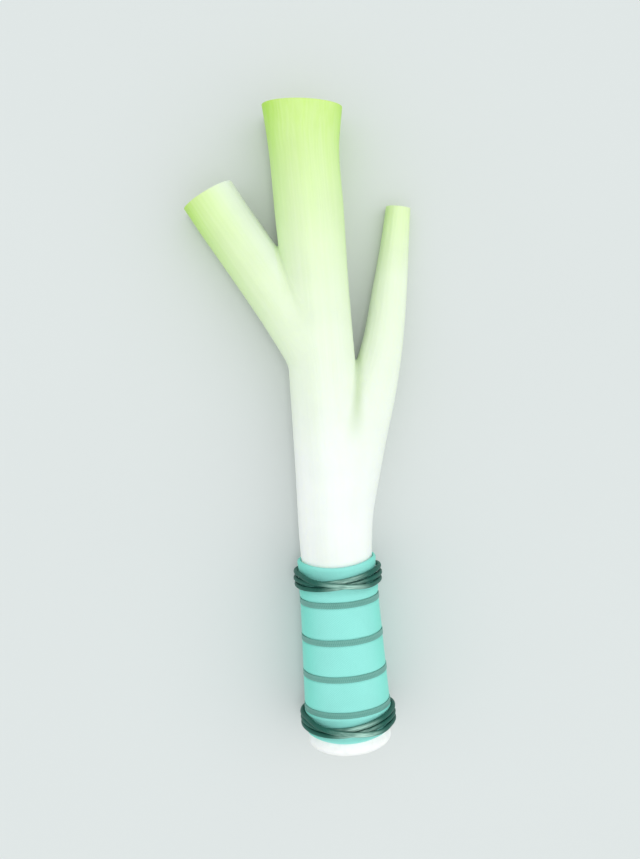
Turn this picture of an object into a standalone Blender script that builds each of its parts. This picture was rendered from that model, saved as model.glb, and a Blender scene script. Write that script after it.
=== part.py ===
"""A trimmed leek lying on its side, with a cloth wrap held round its shank by two elastic ties.

Metres, +Z up. The root end points to -Y and the three cut leaves point to +Y. The leek rests on the
floor at Z = 0 by three low points: the lower tie and the tips of the two side leaves. The origin is
the middle of the whole part's box, at the floor.

Lengths along the leek are counted from a plane 2 mm inside its root face, and the model is made
there, round the Y axis. The empty that carries every piece then brings the middle of the box to the
origin.
"""
import math
import random

import bmesh
import bpy
import numpy as np
from mathutils import Euler, Matrix, Vector

# Wrap: (along, outer radius) of the cloth from its root side to its leaf side.
WRAP_STATIONS = (
    (0.0066, 0.0232),
    (0.0219, 0.0232),
    (0.0408, 0.0225),
    (0.0602, 0.0218),
    (0.0801, 0.0212),
    (0.1000, 0.0207),
)
WRAP_WALL = 0.0012
WRAP_EDGE = 0.0004
FIT_GAP = 0.00045

# Bands: narrow ribbons in shallow channels of the wrap, from the leaf side to the root side.
BAND_PLACES = (0.0801, 0.0602, 0.0408, 0.0219)
BAND_WIDTH = 0.0030
BAND_THICKNESS = 0.0006
CHANNEL_DEPTH = 0.0006
BAND_GAP = 0.0003

# Ties: an elastic cord wound three times round the wrap, over a slight waist in the cloth.
UPPER_TIE_PLACE = 0.0914
LOWER_TIE_PLACE = 0.0135
CORD_RADIUS = 0.0013
TIE_GAP = 0.0005
WAIST_DEPTH = 0.0003
WAIST_HALF = 0.0060
TURNS = 3
STRAND_PITCH_SIDE = 0.0034
UPPER_TIE_LEAN = 0.0010
LOWER_TIE_LEAN = 0.0016
LOWER_TIE_TUCK = 0.0004
STRAND_PITCH_FRONT = 0.00285
STRAND_PITCH_BACK = 0.00295
CROSSING_RISE = 0.0030
CROSSING_HALF_ANGLE = math.radians(62)
RISE_OUTER_ANGLE = math.radians(66)
RISE_INNER_ANGLE = math.radians(24)
UPPER_TIE_CROWN = 0.0003

# Floor: the low points lose a sliver of this depth, which makes their flat resting spots.
FLAT_DEPTH = 0.0003
LOWER_TIE_REACH = WRAP_STATIONS[0][1] - WAIST_DEPTH + TIE_GAP + 2 * CORD_RADIUS
AXIS_HEIGHT = LOWER_TIE_REACH - FLAT_DEPTH

# Leek: stations (across, along, height, radius) on the middle line of each of its three tubes.
# The last station of a tube is an overrun, which the cut takes off.
ROOT_FACE = -0.0020
ROOT_STATIONS = (
    (0.0000, ROOT_FACE, AXIS_HEIGHT, 0.0172),
    (0.0000, -0.0012, AXIS_HEIGHT, 0.0193),
    (0.0000, 0.0004, AXIS_HEIGHT, 0.0214),
    (0.0000, 0.0026, AXIS_HEIGHT, 0.0225),
    (0.0000, 0.0050, AXIS_HEIGHT, 0.0222),
)
SHANK_AND_CENTRE_LEAF_STATIONS = (
    (0.0000, 0.1080, AXIS_HEIGHT, 0.0192),
    (0.0000, 0.1500, AXIS_HEIGHT, 0.0185),
    (0.0000, 0.2000, 0.0254, 0.0179),
    (-0.0002, 0.2500, 0.0251, 0.0175),
    (-0.0006, 0.2850, 0.0246, 0.0182),
    (-0.0009, 0.3220, 0.0237, 0.0188),
    (-0.0002, 0.3414, 0.0230, 0.0211),
    (0.0000, 0.3474, 0.0232, 0.0218),
)
LEFT_LEAF_STATIONS = (
    (-0.0015, 0.2070, 0.0270, 0.0147),
    (-0.0132, 0.2300, 0.0252, 0.0148),
    (-0.0378, 0.2724, 0.0172, 0.0147),
    (-0.0471, 0.2880, 0.0150, 0.0147),
    (-0.0543, 0.3007, 0.0144, 0.0147),
    (-0.0574, 0.3059, 0.0144, 0.0147),
)
RIGHT_LEAF_STATIONS = (
    (0.0008, 0.1000, 0.0254, 0.0180),
    (0.0036, 0.1260, 0.0251, 0.0181),
    (0.0106, 0.1490, 0.0240, 0.0167),
    (0.0179, 0.1700, 0.0225, 0.0151),
    (0.0256, 0.1900, 0.0205, 0.0133),
    (0.0323, 0.2100, 0.0176, 0.0113),
    (0.0400, 0.2440, 0.0116, 0.0093),
    (0.0452, 0.2710, 0.0075, 0.0075),
    (0.0480, 0.2876, 0.0064, 0.0067),
    (0.0487, 0.2916, 0.0063, 0.0066),
)
RING_STEP = 0.012
SHANK_SIDES = 24
LEAF_SIDES = 20

# Cut ends: each knife cut is turned about Z from square, and the leaf layers show as ring grooves.
CENTRE_CUT_TURN = -math.radians(3.9)
LEFT_CUT_TURN = -math.radians(4.4)
RIGHT_CUT_TURN = 0.0
CENTRE_LAYERS = (0.0175, 0.0138, 0.0098, 0.0056)
LEFT_LAYERS = (0.0118, 0.0083, 0.0046)
RIGHT_LAYERS = (0.0044,)
LAYER_GROOVE_WIDTH = 0.0009
LAYER_GROOVE_DEPTH = 0.0018
CUT_OVERRUN = 0.012
CUT_MARGIN = 1.25

# Root end: a low plate with short trimmed roots on it.
PLATE_RADIUS = 0.0118
PLATE_RISE = 0.0008
PLATE_DEPTH = 0.0020
ROOT_COUNT = 17
ROOT_FIELD = 0.0100
ROOT_RADIUS = 0.0009
ROOT_SIDES = 6
ROOT_SHORTEST = 0.0009
ROOT_LONGEST = 0.0017
ROOT_SINK = 0.0012
GOLDEN_ANGLE = math.pi * (3 - math.sqrt(5))
ROOT_SEED = 7

TURNING_STEPS = 32
CUTTER_STEPS = 20
POINTS_PER_TURN = 26
CORD_SIDES = 8
WELD_DISTANCE = 0.000001
MERGE_DISTANCE = 0.00001
SHARP_ANGLE = math.radians(40)
FLOOR_CUTTER_SIZE = 0.8

LEEK_COLOUR = (0.86, 0.95, 0.72, 1.0)
WRAP_COLOUR = (0.34, 0.84, 0.75, 1.0)
BAND_COLOUR = (0.14, 0.39, 0.33, 1.0)
TIE_COLOUR = (0.04, 0.16, 0.12, 1.0)


def clear_scene():
    """Removes every object that the open file holds."""
    for old in list(bpy.data.objects):
        bpy.data.objects.remove(old)


def new_collection(name):
    """A new collection in the scene."""
    made = bpy.data.collections.new(name)
    bpy.context.scene.collection.children.link(made)
    return made


def new_material(name, colour, roughness):
    """A Principled material of one colour."""
    made = bpy.data.materials.new(name)
    made.use_nodes = True
    shader = made.node_tree.nodes["Principled BSDF"]
    shader.inputs["Base Color"].default_value = colour
    shader.inputs["Roughness"].default_value = roughness
    shader.inputs["Metallic"].default_value = 0.0
    made.diffuse_color = colour
    return made


def new_object(name, mesh, collection, parent):
    """An object with the mesh, in a collection and under a parent."""
    made = bpy.data.objects.new(name, mesh)
    collection.objects.link(made)
    made.parent = parent
    return made


def shade_round(mesh):
    """Smooth shading that keeps the sharp edges sharp."""
    mesh.shade_smooth()
    mesh.set_sharp_from_angle(angle=SHARP_ANGLE)


def smooth_rows(stations, step):
    """Rows on a smooth curve through the stations, no more than a step apart.

    Each span is a cubic that starts and ends with the mean slope of the spans on either side of
    its end, weighted so that the shorter span counts more.
    """
    rows = np.array(stations)
    lengths = np.linalg.norm(np.diff(rows[:, :3], axis=0), axis=1)[:, None]
    slopes = np.diff(rows, axis=0) / lengths
    inner = (slopes[:-1] * lengths[1:] + slopes[1:] * lengths[:-1]) / (lengths[:-1] + lengths[1:])
    tangents = np.vstack([slopes[:1], inner, slopes[-1:]])
    curve = [rows[0]]
    for i, length in enumerate(lengths[:, 0]):
        count = math.ceil(length / step)
        for k in range(1, count + 1):
            u = k / count
            curve.append((2 * u**3 - 3 * u**2 + 1) * rows[i] + (u**3 - 2 * u**2 + u) * length * tangents[i]
                         + (3 * u**2 - 2 * u**3) * rows[i + 1] + (u**3 - u**2) * length * tangents[i + 1])
    return np.array(curve)


def evaluated_mesh(shape):
    """A new mesh of an object with its modifiers applied."""
    depsgraph = bpy.context.evaluated_depsgraph_get()
    return bpy.data.meshes.new_from_object(shape.evaluated_get(depsgraph))


def tube(name, rows, sides, collection, parent, closed=False):
    """A round tube through rows of (x, y, z, radius), as a mesh with its end caps welded on."""
    curve = bpy.data.curves.new(name, "CURVE")
    curve.dimensions = "3D"
    curve.bevel_depth = float(rows[:, 3].max())
    curve.bevel_resolution = (sides - 4) // 2
    curve.use_fill_caps = not closed
    spline = curve.splines.new("POLY")
    spline.points.add(len(rows) - 1)
    spline.use_cyclic_u = closed
    for point, (x, y, z, radius) in zip(spline.points, rows):
        point.co = (x, y, z, 1.0)
        point.radius = radius / curve.bevel_depth
    drawn = bpy.data.objects.new(name, curve)
    collection.objects.link(drawn)
    mesh = evaluated_mesh(drawn)
    bpy.data.objects.remove(drawn)
    body = bmesh.new()
    body.from_mesh(mesh)
    bmesh.ops.remove_doubles(body, verts=body.verts, dist=WELD_DISTANCE)
    body.to_mesh(mesh)
    body.free()
    mesh.name = name
    return new_object(name, mesh, collection, parent)


def turned(name, outline, steps, looped, collection, parent):
    """A body turned round its own Z axis from an outline of (along, radius) points.

    The outline's outer side runs from the leaf end to the root end.
    """
    points = [(radius, 0.0, along) for along, radius in outline]
    edges = [(i, i + 1) for i in range(len(points) - 1)]
    if looped:
        edges.append((len(points) - 1, 0))
    mesh = bpy.data.meshes.new(name)
    mesh.from_pydata(points, edges, [])
    made = new_object(name, mesh, collection, parent)
    screw = made.modifiers.new("turn", "SCREW")
    screw.axis = "Z"
    screw.angle = 2 * math.pi
    screw.steps = steps
    screw.render_steps = steps
    screw.use_merge_vertices = True
    screw.merge_threshold = MERGE_DISTANCE
    screw.use_smooth_shade = False
    return made


def hide_cutter(cutter):
    """Marks an object as a cutter that is not part of the model."""
    cutter.hide_render = True
    cutter.display_type = "WIRE"


def subtract(shape, cutter):
    """Cuts one object out of another with a Boolean that stays live."""
    cut = shape.modifiers.new(cutter.name, "BOOLEAN")
    cut.operation = "DIFFERENCE"
    cut.object = cutter


def join_pieces(base, pieces):
    """Unites the pieces with the base in one Boolean on a collection, and removes them."""
    group = new_collection("pieces_to_join")
    for piece in pieces:
        group.objects.link(piece)
    union = base.modifiers.new("join", "BOOLEAN")
    union.operation = "UNION"
    union.operand_type = "COLLECTION"
    union.collection = group
    mesh = evaluated_mesh(base)
    base.modifiers.clear()
    base.data = mesh
    for piece in pieces:
        bpy.data.objects.remove(piece)
    bpy.data.collections.remove(group)


def wrap_radius(along):
    """Outer radius of the wrap's cloth between its stations, without channels or waists."""
    places, radii = zip(*WRAP_STATIONS)
    return float(np.interp(along, places, radii))


def shank_rows():
    """Rows of the shank and centre leaf; under the wrap the shank fits the cloth."""
    fit = WRAP_WALL + FIT_GAP
    covered = [(0.0, along, AXIS_HEIGHT, radius - fit) for along, radius in WRAP_STATIONS]
    stations = ROOT_STATIONS + tuple(covered) + SHANK_AND_CENTRE_LEAF_STATIONS
    return smooth_rows(stations, RING_STEP)


def root_plate(collection, parent):
    """The low round plate at the root end."""
    mesh = bpy.data.meshes.new("root_plate")
    body = bmesh.new()
    bmesh.ops.create_cone(body, cap_ends=True, segments=SHANK_SIDES, radius1=PLATE_RADIUS,
                          radius2=PLATE_RADIUS - PLATE_RISE, depth=PLATE_DEPTH + PLATE_RISE)
    body.to_mesh(mesh)
    body.free()
    plate = new_object("root_plate", mesh, collection, parent)
    plate.rotation_euler = (math.radians(90), 0.0, 0.0)
    plate.location = (0.0, ROOT_FACE + (PLATE_DEPTH - PLATE_RISE) / 2, AXIS_HEIGHT)
    return plate


def trimmed_roots(collection, parent):
    """Short tapered root ends, spread over the plate in a sunflower pattern."""
    draw = random.Random(ROOT_SEED)
    mesh = bpy.data.meshes.new("trimmed_roots")
    body = bmesh.new()
    for i in range(ROOT_COUNT):
        from_middle = ROOT_FIELD * math.sqrt((i + 0.5) / ROOT_COUNT)
        angle = i * GOLDEN_ANGLE
        length = draw.uniform(ROOT_SHORTEST, ROOT_LONGEST) + ROOT_SINK
        along = ROOT_FACE + ROOT_SINK - PLATE_RISE - length / 2
        middle = Vector((from_middle * math.cos(angle), along, AXIS_HEIGHT + from_middle * math.sin(angle)))
        upright = Matrix.Translation(middle) @ Matrix.Rotation(math.radians(90), 4, "X")
        bmesh.ops.create_cone(body, cap_ends=True, segments=ROOT_SIDES, radius1=ROOT_RADIUS,
                              radius2=ROOT_RADIUS * draw.uniform(0.6, 0.85), depth=length, matrix=upright)
    body.to_mesh(mesh)
    body.free()
    return new_object("trimmed_roots", mesh, collection, parent)


def knife_cut(name, stations, turn, layers, collection, parent):
    """Cutter for a leaf's end: a disc past the cut with one ring tooth for each gap between layers."""
    place = Vector(stations[-2][:3])
    direction = (Vector(stations[-1][:3]) - place).normalized()
    direction.rotate(Euler((0.0, 0.0, turn)))
    reach = stations[-1][3] * CUT_MARGIN
    outline = [(CUT_OVERRUN, 0.0), (CUT_OVERRUN, reach), (0.0, reach)]
    half = LAYER_GROOVE_WIDTH / 2
    for radius in layers:
        outline += [(0.0, radius + half), (-LAYER_GROOVE_DEPTH, radius + half),
                    (-LAYER_GROOVE_DEPTH, radius - half), (0.0, radius - half)]
    outline.append((0.0, 0.0))
    cutter = turned(name, outline, CUTTER_STEPS, False, collection, parent)
    cutter.location = place
    cutter.rotation_euler = direction.to_track_quat("Z", "Y").to_euler()
    hide_cutter(cutter)
    return cutter


def floor_cutter(collection, parent):
    """A block under the floor, which makes the flat spots that the part rests on."""
    mesh = bpy.data.meshes.new("floor_cutter")
    body = bmesh.new()
    bmesh.ops.create_cube(body, size=FLOOR_CUTTER_SIZE)
    body.to_mesh(mesh)
    body.free()
    cutter = new_object("floor_cutter", mesh, collection, parent)
    cutter.location = (0.0, 0.0, -FLOOR_CUTTER_SIZE / 2)
    hide_cutter(cutter)
    return cutter


def make_leek(parts, cutters, parent, floor):
    """The whole vegetable: shank and leaves united, leaf ends cut, tips flattened on the floor."""
    leek = tube("leek", shank_rows(), SHANK_SIDES, parts, parent)
    leaves = [
        tube("left_leaf", smooth_rows(LEFT_LEAF_STATIONS, RING_STEP), LEAF_SIDES, parts, parent),
        tube("right_leaf", smooth_rows(RIGHT_LEAF_STATIONS, RING_STEP), LEAF_SIDES, parts, parent),
    ]
    join_pieces(leek, leaves + [root_plate(parts, parent), trimmed_roots(parts, parent)])
    for name, stations, turn, layers in (
        ("centre_cut", SHANK_AND_CENTRE_LEAF_STATIONS, CENTRE_CUT_TURN, CENTRE_LAYERS),
        ("left_cut", LEFT_LEAF_STATIONS, LEFT_CUT_TURN, LEFT_LAYERS),
        ("right_cut", RIGHT_LEAF_STATIONS, RIGHT_CUT_TURN, RIGHT_LAYERS),
    ):
        subtract(leek, knife_cut(name, stations, turn, layers, cutters, parent))
    subtract(leek, floor)
    leek.data.materials.clear()
    leek.data.materials.append(new_material("leek_skin", LEEK_COLOUR, 0.45))
    shade_round(leek.data)


def wrap_outline():
    """The wrap's wall: outer side with channels and waists, then the inner side back."""
    low, high = WRAP_STATIONS[0][0], WRAP_STATIONS[-1][0]
    channel_half = BAND_WIDTH / 2 + BAND_GAP
    dips = [(place, channel_half, 0.0, CHANNEL_DEPTH) for place in BAND_PLACES]
    for place in (UPPER_TIE_PLACE, LOWER_TIE_PLACE):
        dips.append((place, WAIST_HALF, WAIST_HALF / 2, WAIST_DEPTH))
    outer = [(high, wrap_radius(high) - WRAP_EDGE), (high - WRAP_EDGE, wrap_radius(high))]
    for place, half, slope, depth in sorted(dips, reverse=True):
        for along, drop in ((place + half, 0.0), (place + half - slope, depth),
                            (place - half + slope, depth), (place - half, 0.0)):
            outer.append((along, wrap_radius(along) - drop))
    outer += [(low + WRAP_EDGE, wrap_radius(low)), (low, wrap_radius(low) - WRAP_EDGE)]
    inner = [(along, radius - WRAP_WALL) for along, radius in WRAP_STATIONS]
    return outer + inner


def make_wrap(parts, axis):
    """The cloth sleeve round the lower shank."""
    wrap = turned("wrap", wrap_outline(), TURNING_STEPS, True, parts, axis)
    wrap.data.materials.append(new_material("wrap_cloth", WRAP_COLOUR, 0.7))


def make_bands(parts, axis):
    """The narrow ribbons, each seated in its channel and a little proud of the cloth."""
    ribbon = new_material("band_ribbon", BAND_COLOUR, 0.75)
    half = BAND_WIDTH / 2
    for number, place in enumerate(BAND_PLACES, start=1):
        outline = []
        for along, lift in ((place + half, BAND_THICKNESS), (place - half, BAND_THICKNESS),
                            (place - half, 0.0), (place + half, 0.0)):
            outline.append((along, wrap_radius(along) - CHANNEL_DEPTH + BAND_GAP + lift))
        band = turned(f"band_{number}", outline, TURNING_STEPS, True, parts, axis)
        band.data.materials.append(ribbon)


def ease(value):
    """Smooth step from 0 to 1."""
    value = np.clip(value, 0.0, 1.0)
    return value * value * (3 - 2 * value)


def tie_rows(place, crown, lean, tuck):
    """Middle line of a cord wound three times round the wrap and joined end to end.

    Each turn starts and ends underneath. Over the front the first two turns move one lane towards
    the leaves, and the third rises and crosses over both, back to the first lane. At both sides
    the lanes spread out and lean towards the leaves, and at the left side a tuck draws them closer.
    """
    count = TURNS * POINTS_PER_TURN
    turn = np.arange(count) // POINTS_PER_TURN
    angle = 2 * math.pi * (np.arange(count) % POINTS_PER_TURN) / POINTS_PER_TURN
    from_front = angle - math.pi
    start_lane = np.array([-1.0, 0.0, 1.0])[turn]
    end_lane = np.array([0.0, 1.0, -1.0])[turn]
    passed = ease((from_front + CROSSING_HALF_ANGLE) / (2 * CROSSING_HALF_ANGLE))
    lane = start_lane + (end_lane - start_lane) * passed
    front = np.clip(-np.cos(angle), 0.0, 1.0) ** 2
    back = np.clip(np.cos(angle), 0.0, 1.0) ** 2
    pitch = (STRAND_PITCH_SIDE + (STRAND_PITCH_FRONT - STRAND_PITCH_SIDE) * front
             + (STRAND_PITCH_BACK - STRAND_PITCH_SIDE) * back)
    risen = ease((RISE_OUTER_ANGLE - np.abs(from_front)) / (RISE_OUTER_ANGLE - RISE_INNER_ANGLE))
    rise = CROSSING_RISE * risen * (turn == TURNS - 1)
    crowned = crown * np.sin(angle) ** 2 * (1 - np.abs(lane))
    tucked = tuck * np.clip(np.sin(angle), 0.0, 1.0) ** 2
    radius = wrap_radius(place) - WAIST_DEPTH + TIE_GAP + CORD_RADIUS + rise + crowned
    along = place + lane * (pitch - tucked) + lean * np.sin(angle) ** 2 + tucked
    return np.column_stack([-radius * np.sin(angle), along,
                            AXIS_HEIGHT - radius * np.cos(angle), np.full(count, CORD_RADIUS)])


def make_tie(name, rows, cord, parts, parent):
    """One elastic cord tie."""
    tie = tube(name, rows, CORD_SIDES, parts, parent, closed=True)
    tie.data.materials.append(cord)
    shade_round(tie.data)
    return tie


def stand_on_origin(parts, placement):
    """Moves the carrying empty so that the middle of the whole box is over the origin."""
    bpy.context.view_layer.update()
    depsgraph = bpy.context.evaluated_depsgraph_get()
    corners = []
    for piece in parts.objects:
        if piece.type == "MESH":
            solid = piece.evaluated_get(depsgraph)
            corners += [solid.matrix_world @ Vector(corner) for corner in solid.bound_box]
    corners = np.array(corners)
    middle = (corners.min(axis=0) + corners.max(axis=0)) / 2
    placement.location = (-middle[0], -middle[1], 0.0)


def main():
    """Builds the whole part."""
    clear_scene()
    parts = new_collection("leek")
    cutters = new_collection("cutters")
    placement = bpy.data.objects.new("placement", None)
    parts.objects.link(placement)
    shank_axis = bpy.data.objects.new("shank_axis", None)
    parts.objects.link(shank_axis)
    shank_axis.parent = placement
    shank_axis.location = (0.0, 0.0, AXIS_HEIGHT)
    shank_axis.rotation_euler = (math.radians(-90), 0.0, 0.0)

    floor = floor_cutter(cutters, placement)
    make_leek(parts, cutters, placement, floor)
    make_wrap(parts, shank_axis)
    make_bands(parts, shank_axis)
    cord = new_material("tie_cord", TIE_COLOUR, 0.35)
    upper_rows = tie_rows(UPPER_TIE_PLACE, UPPER_TIE_CROWN, UPPER_TIE_LEAN, 0.0)
    make_tie("upper_tie", upper_rows, cord, parts, placement)
    lower_rows = tie_rows(LOWER_TIE_PLACE, 0.0, LOWER_TIE_LEAN, LOWER_TIE_TUCK)
    lower_tie = make_tie("lower_tie", lower_rows, cord, parts, placement)
    subtract(lower_tie, floor)
    stand_on_origin(parts, placement)


main()
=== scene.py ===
"""Looks of a trimmed leek that lies on its side, with a banded cloth wrap held by two elastic ties.

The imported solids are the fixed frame. Each piece here stands in the place of its solid: the leek as
one blended skin with layered cut ends, its trimmed roots, the cloth wrap, four ribbons and two cords.
All sizes are in metres. The root end points to -Y, the cut leaves to +Y, and +Z is up.
"""

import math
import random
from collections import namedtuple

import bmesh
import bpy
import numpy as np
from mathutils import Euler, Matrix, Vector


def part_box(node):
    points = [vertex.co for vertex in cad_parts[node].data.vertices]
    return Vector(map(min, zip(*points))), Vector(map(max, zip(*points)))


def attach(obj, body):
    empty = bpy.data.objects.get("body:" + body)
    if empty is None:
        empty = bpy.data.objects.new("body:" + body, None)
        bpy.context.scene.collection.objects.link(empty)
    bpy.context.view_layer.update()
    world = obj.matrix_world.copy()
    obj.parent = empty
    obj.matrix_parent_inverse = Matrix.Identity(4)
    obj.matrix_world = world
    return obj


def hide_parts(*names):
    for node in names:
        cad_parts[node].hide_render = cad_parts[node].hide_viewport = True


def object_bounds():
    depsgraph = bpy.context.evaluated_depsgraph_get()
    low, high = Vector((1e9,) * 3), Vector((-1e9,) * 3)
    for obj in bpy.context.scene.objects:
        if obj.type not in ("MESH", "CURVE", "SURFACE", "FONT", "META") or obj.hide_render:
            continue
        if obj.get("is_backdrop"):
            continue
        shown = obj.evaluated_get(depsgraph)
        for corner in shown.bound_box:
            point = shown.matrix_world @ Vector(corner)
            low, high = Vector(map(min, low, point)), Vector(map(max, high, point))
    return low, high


bl_info = {
    "name": "Leek with a tied wrap",
    "version": (1, 0, 0),
    "blender": (4, 5, 0),
    "location": "View3D > Sidebar > Leek",
    "description": "Adds a trimmed leek with a banded cloth wrap, elastic ties and a plain studio",
    "category": "Add Mesh",
}

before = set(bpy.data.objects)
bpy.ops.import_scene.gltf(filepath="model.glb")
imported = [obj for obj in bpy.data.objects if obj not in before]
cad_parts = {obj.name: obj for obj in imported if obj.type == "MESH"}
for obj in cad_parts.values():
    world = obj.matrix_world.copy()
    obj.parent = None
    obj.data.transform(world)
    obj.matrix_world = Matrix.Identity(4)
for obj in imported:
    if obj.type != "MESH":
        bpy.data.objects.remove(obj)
CAD_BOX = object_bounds()
BODY = "root"

# Construction sizes, the same as the solids have. Lengths along the leek count from a plane 2 mm
# inside its root face.
WRAP_STATIONS = (
    (0.0066, 0.0232),
    (0.0219, 0.0232),
    (0.0408, 0.0225),
    (0.0602, 0.0218),
    (0.0801, 0.0212),
    (0.1000, 0.0207),
)
WRAP_START, WRAP_END = WRAP_STATIONS[0][0], WRAP_STATIONS[-1][0]
WRAP_WALL = 0.0012
FIT_GAP = 0.00045
BAND_PLACES = (0.0801, 0.0602, 0.0408, 0.0219)
BAND_WIDTH = 0.0030
BAND_THICKNESS = 0.0006
UPPER_TIE_PLACE = 0.0914
LOWER_TIE_PLACE = 0.0135
CORD_RADIUS = 0.0013
TIE_GAP = 0.0005
WAIST_DEPTH = 0.0003
TURNS = 3
STRAND_PITCH_SIDE = 0.0034
UPPER_TIE_LEAN = 0.0010
LOWER_TIE_LEAN = 0.0016
LOWER_TIE_TUCK = 0.0004
STRAND_PITCH_FRONT = 0.00285
STRAND_PITCH_BACK = 0.00295
CROSSING_RISE = 0.0030
CROSSING_HALF_ANGLE = math.radians(62)
RISE_OUTER_ANGLE = math.radians(66)
RISE_INNER_ANGLE = math.radians(24)
UPPER_TIE_CROWN = 0.0003

# Studio: each light's angular width and the direction that it comes from, and the sky's colour.
KEY_LIGHT = (math.radians(12), (0.08, 0.10, 1.0))
SIDE_LIGHT = (math.radians(70), (0.75, -0.10, 1.0))
SKY_COLOUR = (0.95, 0.98, 1.0)

# The wrap's box in the frame says where the leek's axis and the plane of length 0 lie.
WRAP_LOW, WRAP_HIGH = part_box("wrap")
AXIS_X = (WRAP_LOW.x + WRAP_HIGH.x) / 2
AXIS_Z = (WRAP_LOW.z + WRAP_HIGH.z) / 2
ZERO_Y = WRAP_LOW.y - WRAP_START

# Leek: stations (across, along, height, radius) on the middle line of each of its three tubes. The
# ends of each line are overruns, which the cuts take off.
CENTRE_STATIONS = (
    (0.0000, -0.0080, AXIS_Z, 0.0215),
    *((0.0000, along, AXIS_Z, radius - WRAP_WALL - FIT_GAP) for along, radius in WRAP_STATIONS),
    (0.0000, 0.1080, AXIS_Z, 0.0192),
    (0.0000, 0.1500, AXIS_Z, 0.0185),
    (0.0000, 0.2000, 0.0254, 0.0179),
    (-0.0002, 0.2500, 0.0251, 0.0175),
    (-0.0006, 0.2850, 0.0246, 0.0182),
    (-0.0009, 0.3220, 0.0237, 0.0188),
    (-0.0002, 0.3414, 0.0230, 0.0211),
    (0.0000, 0.3474, 0.0232, 0.0218),
)
LEFT_STATIONS = (
    (-0.0015, 0.2070, 0.0270, 0.0147),
    (-0.0132, 0.2300, 0.0252, 0.0148),
    (-0.0378, 0.2724, 0.0172, 0.0147),
    (-0.0471, 0.2880, 0.0150, 0.0147),
    (-0.0543, 0.3007, 0.0144, 0.0147),
    (-0.0574, 0.3059, 0.0144, 0.0147),
)
RIGHT_STATIONS = (
    (0.0008, 0.1000, 0.0254, 0.0180),
    (0.0036, 0.1260, 0.0251, 0.0181),
    (0.0106, 0.1490, 0.0240, 0.0167),
    (0.0179, 0.1700, 0.0225, 0.0151),
    (0.0256, 0.1900, 0.0205, 0.0133),
    (0.0323, 0.2100, 0.0176, 0.0113),
    (0.0400, 0.2440, 0.0116, 0.0093),
    (0.0452, 0.2710, 0.0075, 0.0075),
    (0.0480, 0.2876, 0.0064, 0.0067),
    (0.0487, 0.2916, 0.0063, 0.0066),
)

# Each knife cut goes through the second-last station, turned about Z from square to the tube.
CENTRE_CUT_TURN = -math.radians(3.9)
LEFT_CUT_TURN = -math.radians(4.4)
RIGHT_CUT_TURN = 0.0

# Where a leaf meets the shank, (along, width) of the soft blend between their skins.
LEFT_BLEND = ((0.207, 0.0015), (0.225, 0.004), (0.245, 0.005), (0.268, 0.0025))
RIGHT_BLEND = ((0.110, 0.0005), (0.126, 0.0028), (0.149, 0.008), (0.175, 0.009), (0.195, 0.005),
               (0.211, 0.0025))

# Painted shade along each crease between the shank and a side leaf: its offset from where the two
# skins lie level, its half width, where it starts and how deep it is. It comes in over the start
# length that follows.
LEFT_CREASE_SHADE = (0.0011, 0.0021, 0.225, 0.45)
RIGHT_CREASE_SHADE = (0.0, 0.0060, 0.160, 1.0)
CREASE_SHADE_START_LENGTH = 0.03

# How green each leaf is, (along, green), from the white shank at 0 to the greenest cut end at 1.
CENTRE_GREEN = ((0.140, 0.0), (0.158, 0.03), (0.190, 0.17), (0.222, 0.27), (0.243, 0.35), (0.265, 0.47),
                (0.286, 0.60), (0.308, 0.73), (0.329, 0.87), (0.345, 0.98))
LEFT_GREEN = ((0.180, 0.08), (0.240, 0.34), (0.270, 0.48), (0.298, 0.68))
RIGHT_GREEN = ((0.130, 0.0), (0.190, 0.16), (0.213, 0.22), (0.249, 0.30), (0.283, 0.60))

# Painted light and shade on the left leaf: it is paler on its inner side and greener on its outer
# side by these shares.
LEFT_PAINTED_LIGHT_INSIDE = 1.15
LEFT_PAINTED_SHADE_OUTSIDE = 0.50

# Facing the light side is 1. The skin's painted shade begins at SHADE_START and is full
# SHADE_RANGE lower, and on the right leaf it is less by a share.
LIGHT_SIDE = (0.15, 0.0, 0.99)
SHADE_START = 0.95
SHADE_RANGE = 0.7
RIGHT_BRIGHTER = 0.6

# Shallow lengthwise flutes in the skin: (count round the tube, turn, drift along it, depth).
FLUTES = ((9, 2.1, 8.0, 0.00003), (14, 0.7, -11.0, 0.00002), (5, 4.0, 5.0, 0.00004))

# Layer edges on the cut ends: (radius, half width, depth), outermost first. The wide ones are the
# gaps between whole leaves, and the narrow ones the thinner layers inside each.
WIDE, NARROW = (0.00045, 0.0018), (0.00016, 0.0004)
CENTRE_LAYERS = (
    (0.0194, *NARROW), (0.0175, *WIDE), (0.0157, *NARROW), (0.0138, *WIDE), (0.0118, *NARROW),
    (0.0098, *WIDE), (0.0077, *NARROW), (0.0056, *WIDE), (0.0036, *NARROW), (0.0019, *NARROW),
)
LEFT_LAYERS = (
    (0.0133, *NARROW), (0.0118, *WIDE), (0.0101, *NARROW), (0.0083, *WIDE), (0.0064, *NARROW),
    (0.0046, *WIDE), (0.0028, *NARROW), (0.0014, *NARROW),
)
RIGHT_LAYERS = ((0.0057, *NARROW), (0.0044, *WIDE), (0.0030, *NARROW), (0.0016, *NARROW))
GROOVE_ACROSS = np.array((1.0, 0.75, 0.35, -0.35, -0.75, -1.0))
GROOVE_DEEP = np.array((0.0, 0.75, 1.0, 1.0, 0.75, 0.0))

# Each leaf's stations, the turn of its cut and its layers.
LEAVES = (
    (CENTRE_STATIONS, CENTRE_CUT_TURN, CENTRE_LAYERS),
    (LEFT_STATIONS, LEFT_CUT_TURN, LEFT_LAYERS),
    (RIGHT_STATIONS, RIGHT_CUT_TURN, RIGHT_LAYERS),
)

# The first ring's distance from the rim, the least and most that a layer's top lies under the cut,
# how far the rings wander, and how far they dip.
RIM_INSET = 0.0003
LAYER_TOP_DROP = (0.00004, 0.00028)
RING_DRIFT = 0.00022
RING_DISH = 0.00012
LAYER_SEED = 5

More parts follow.
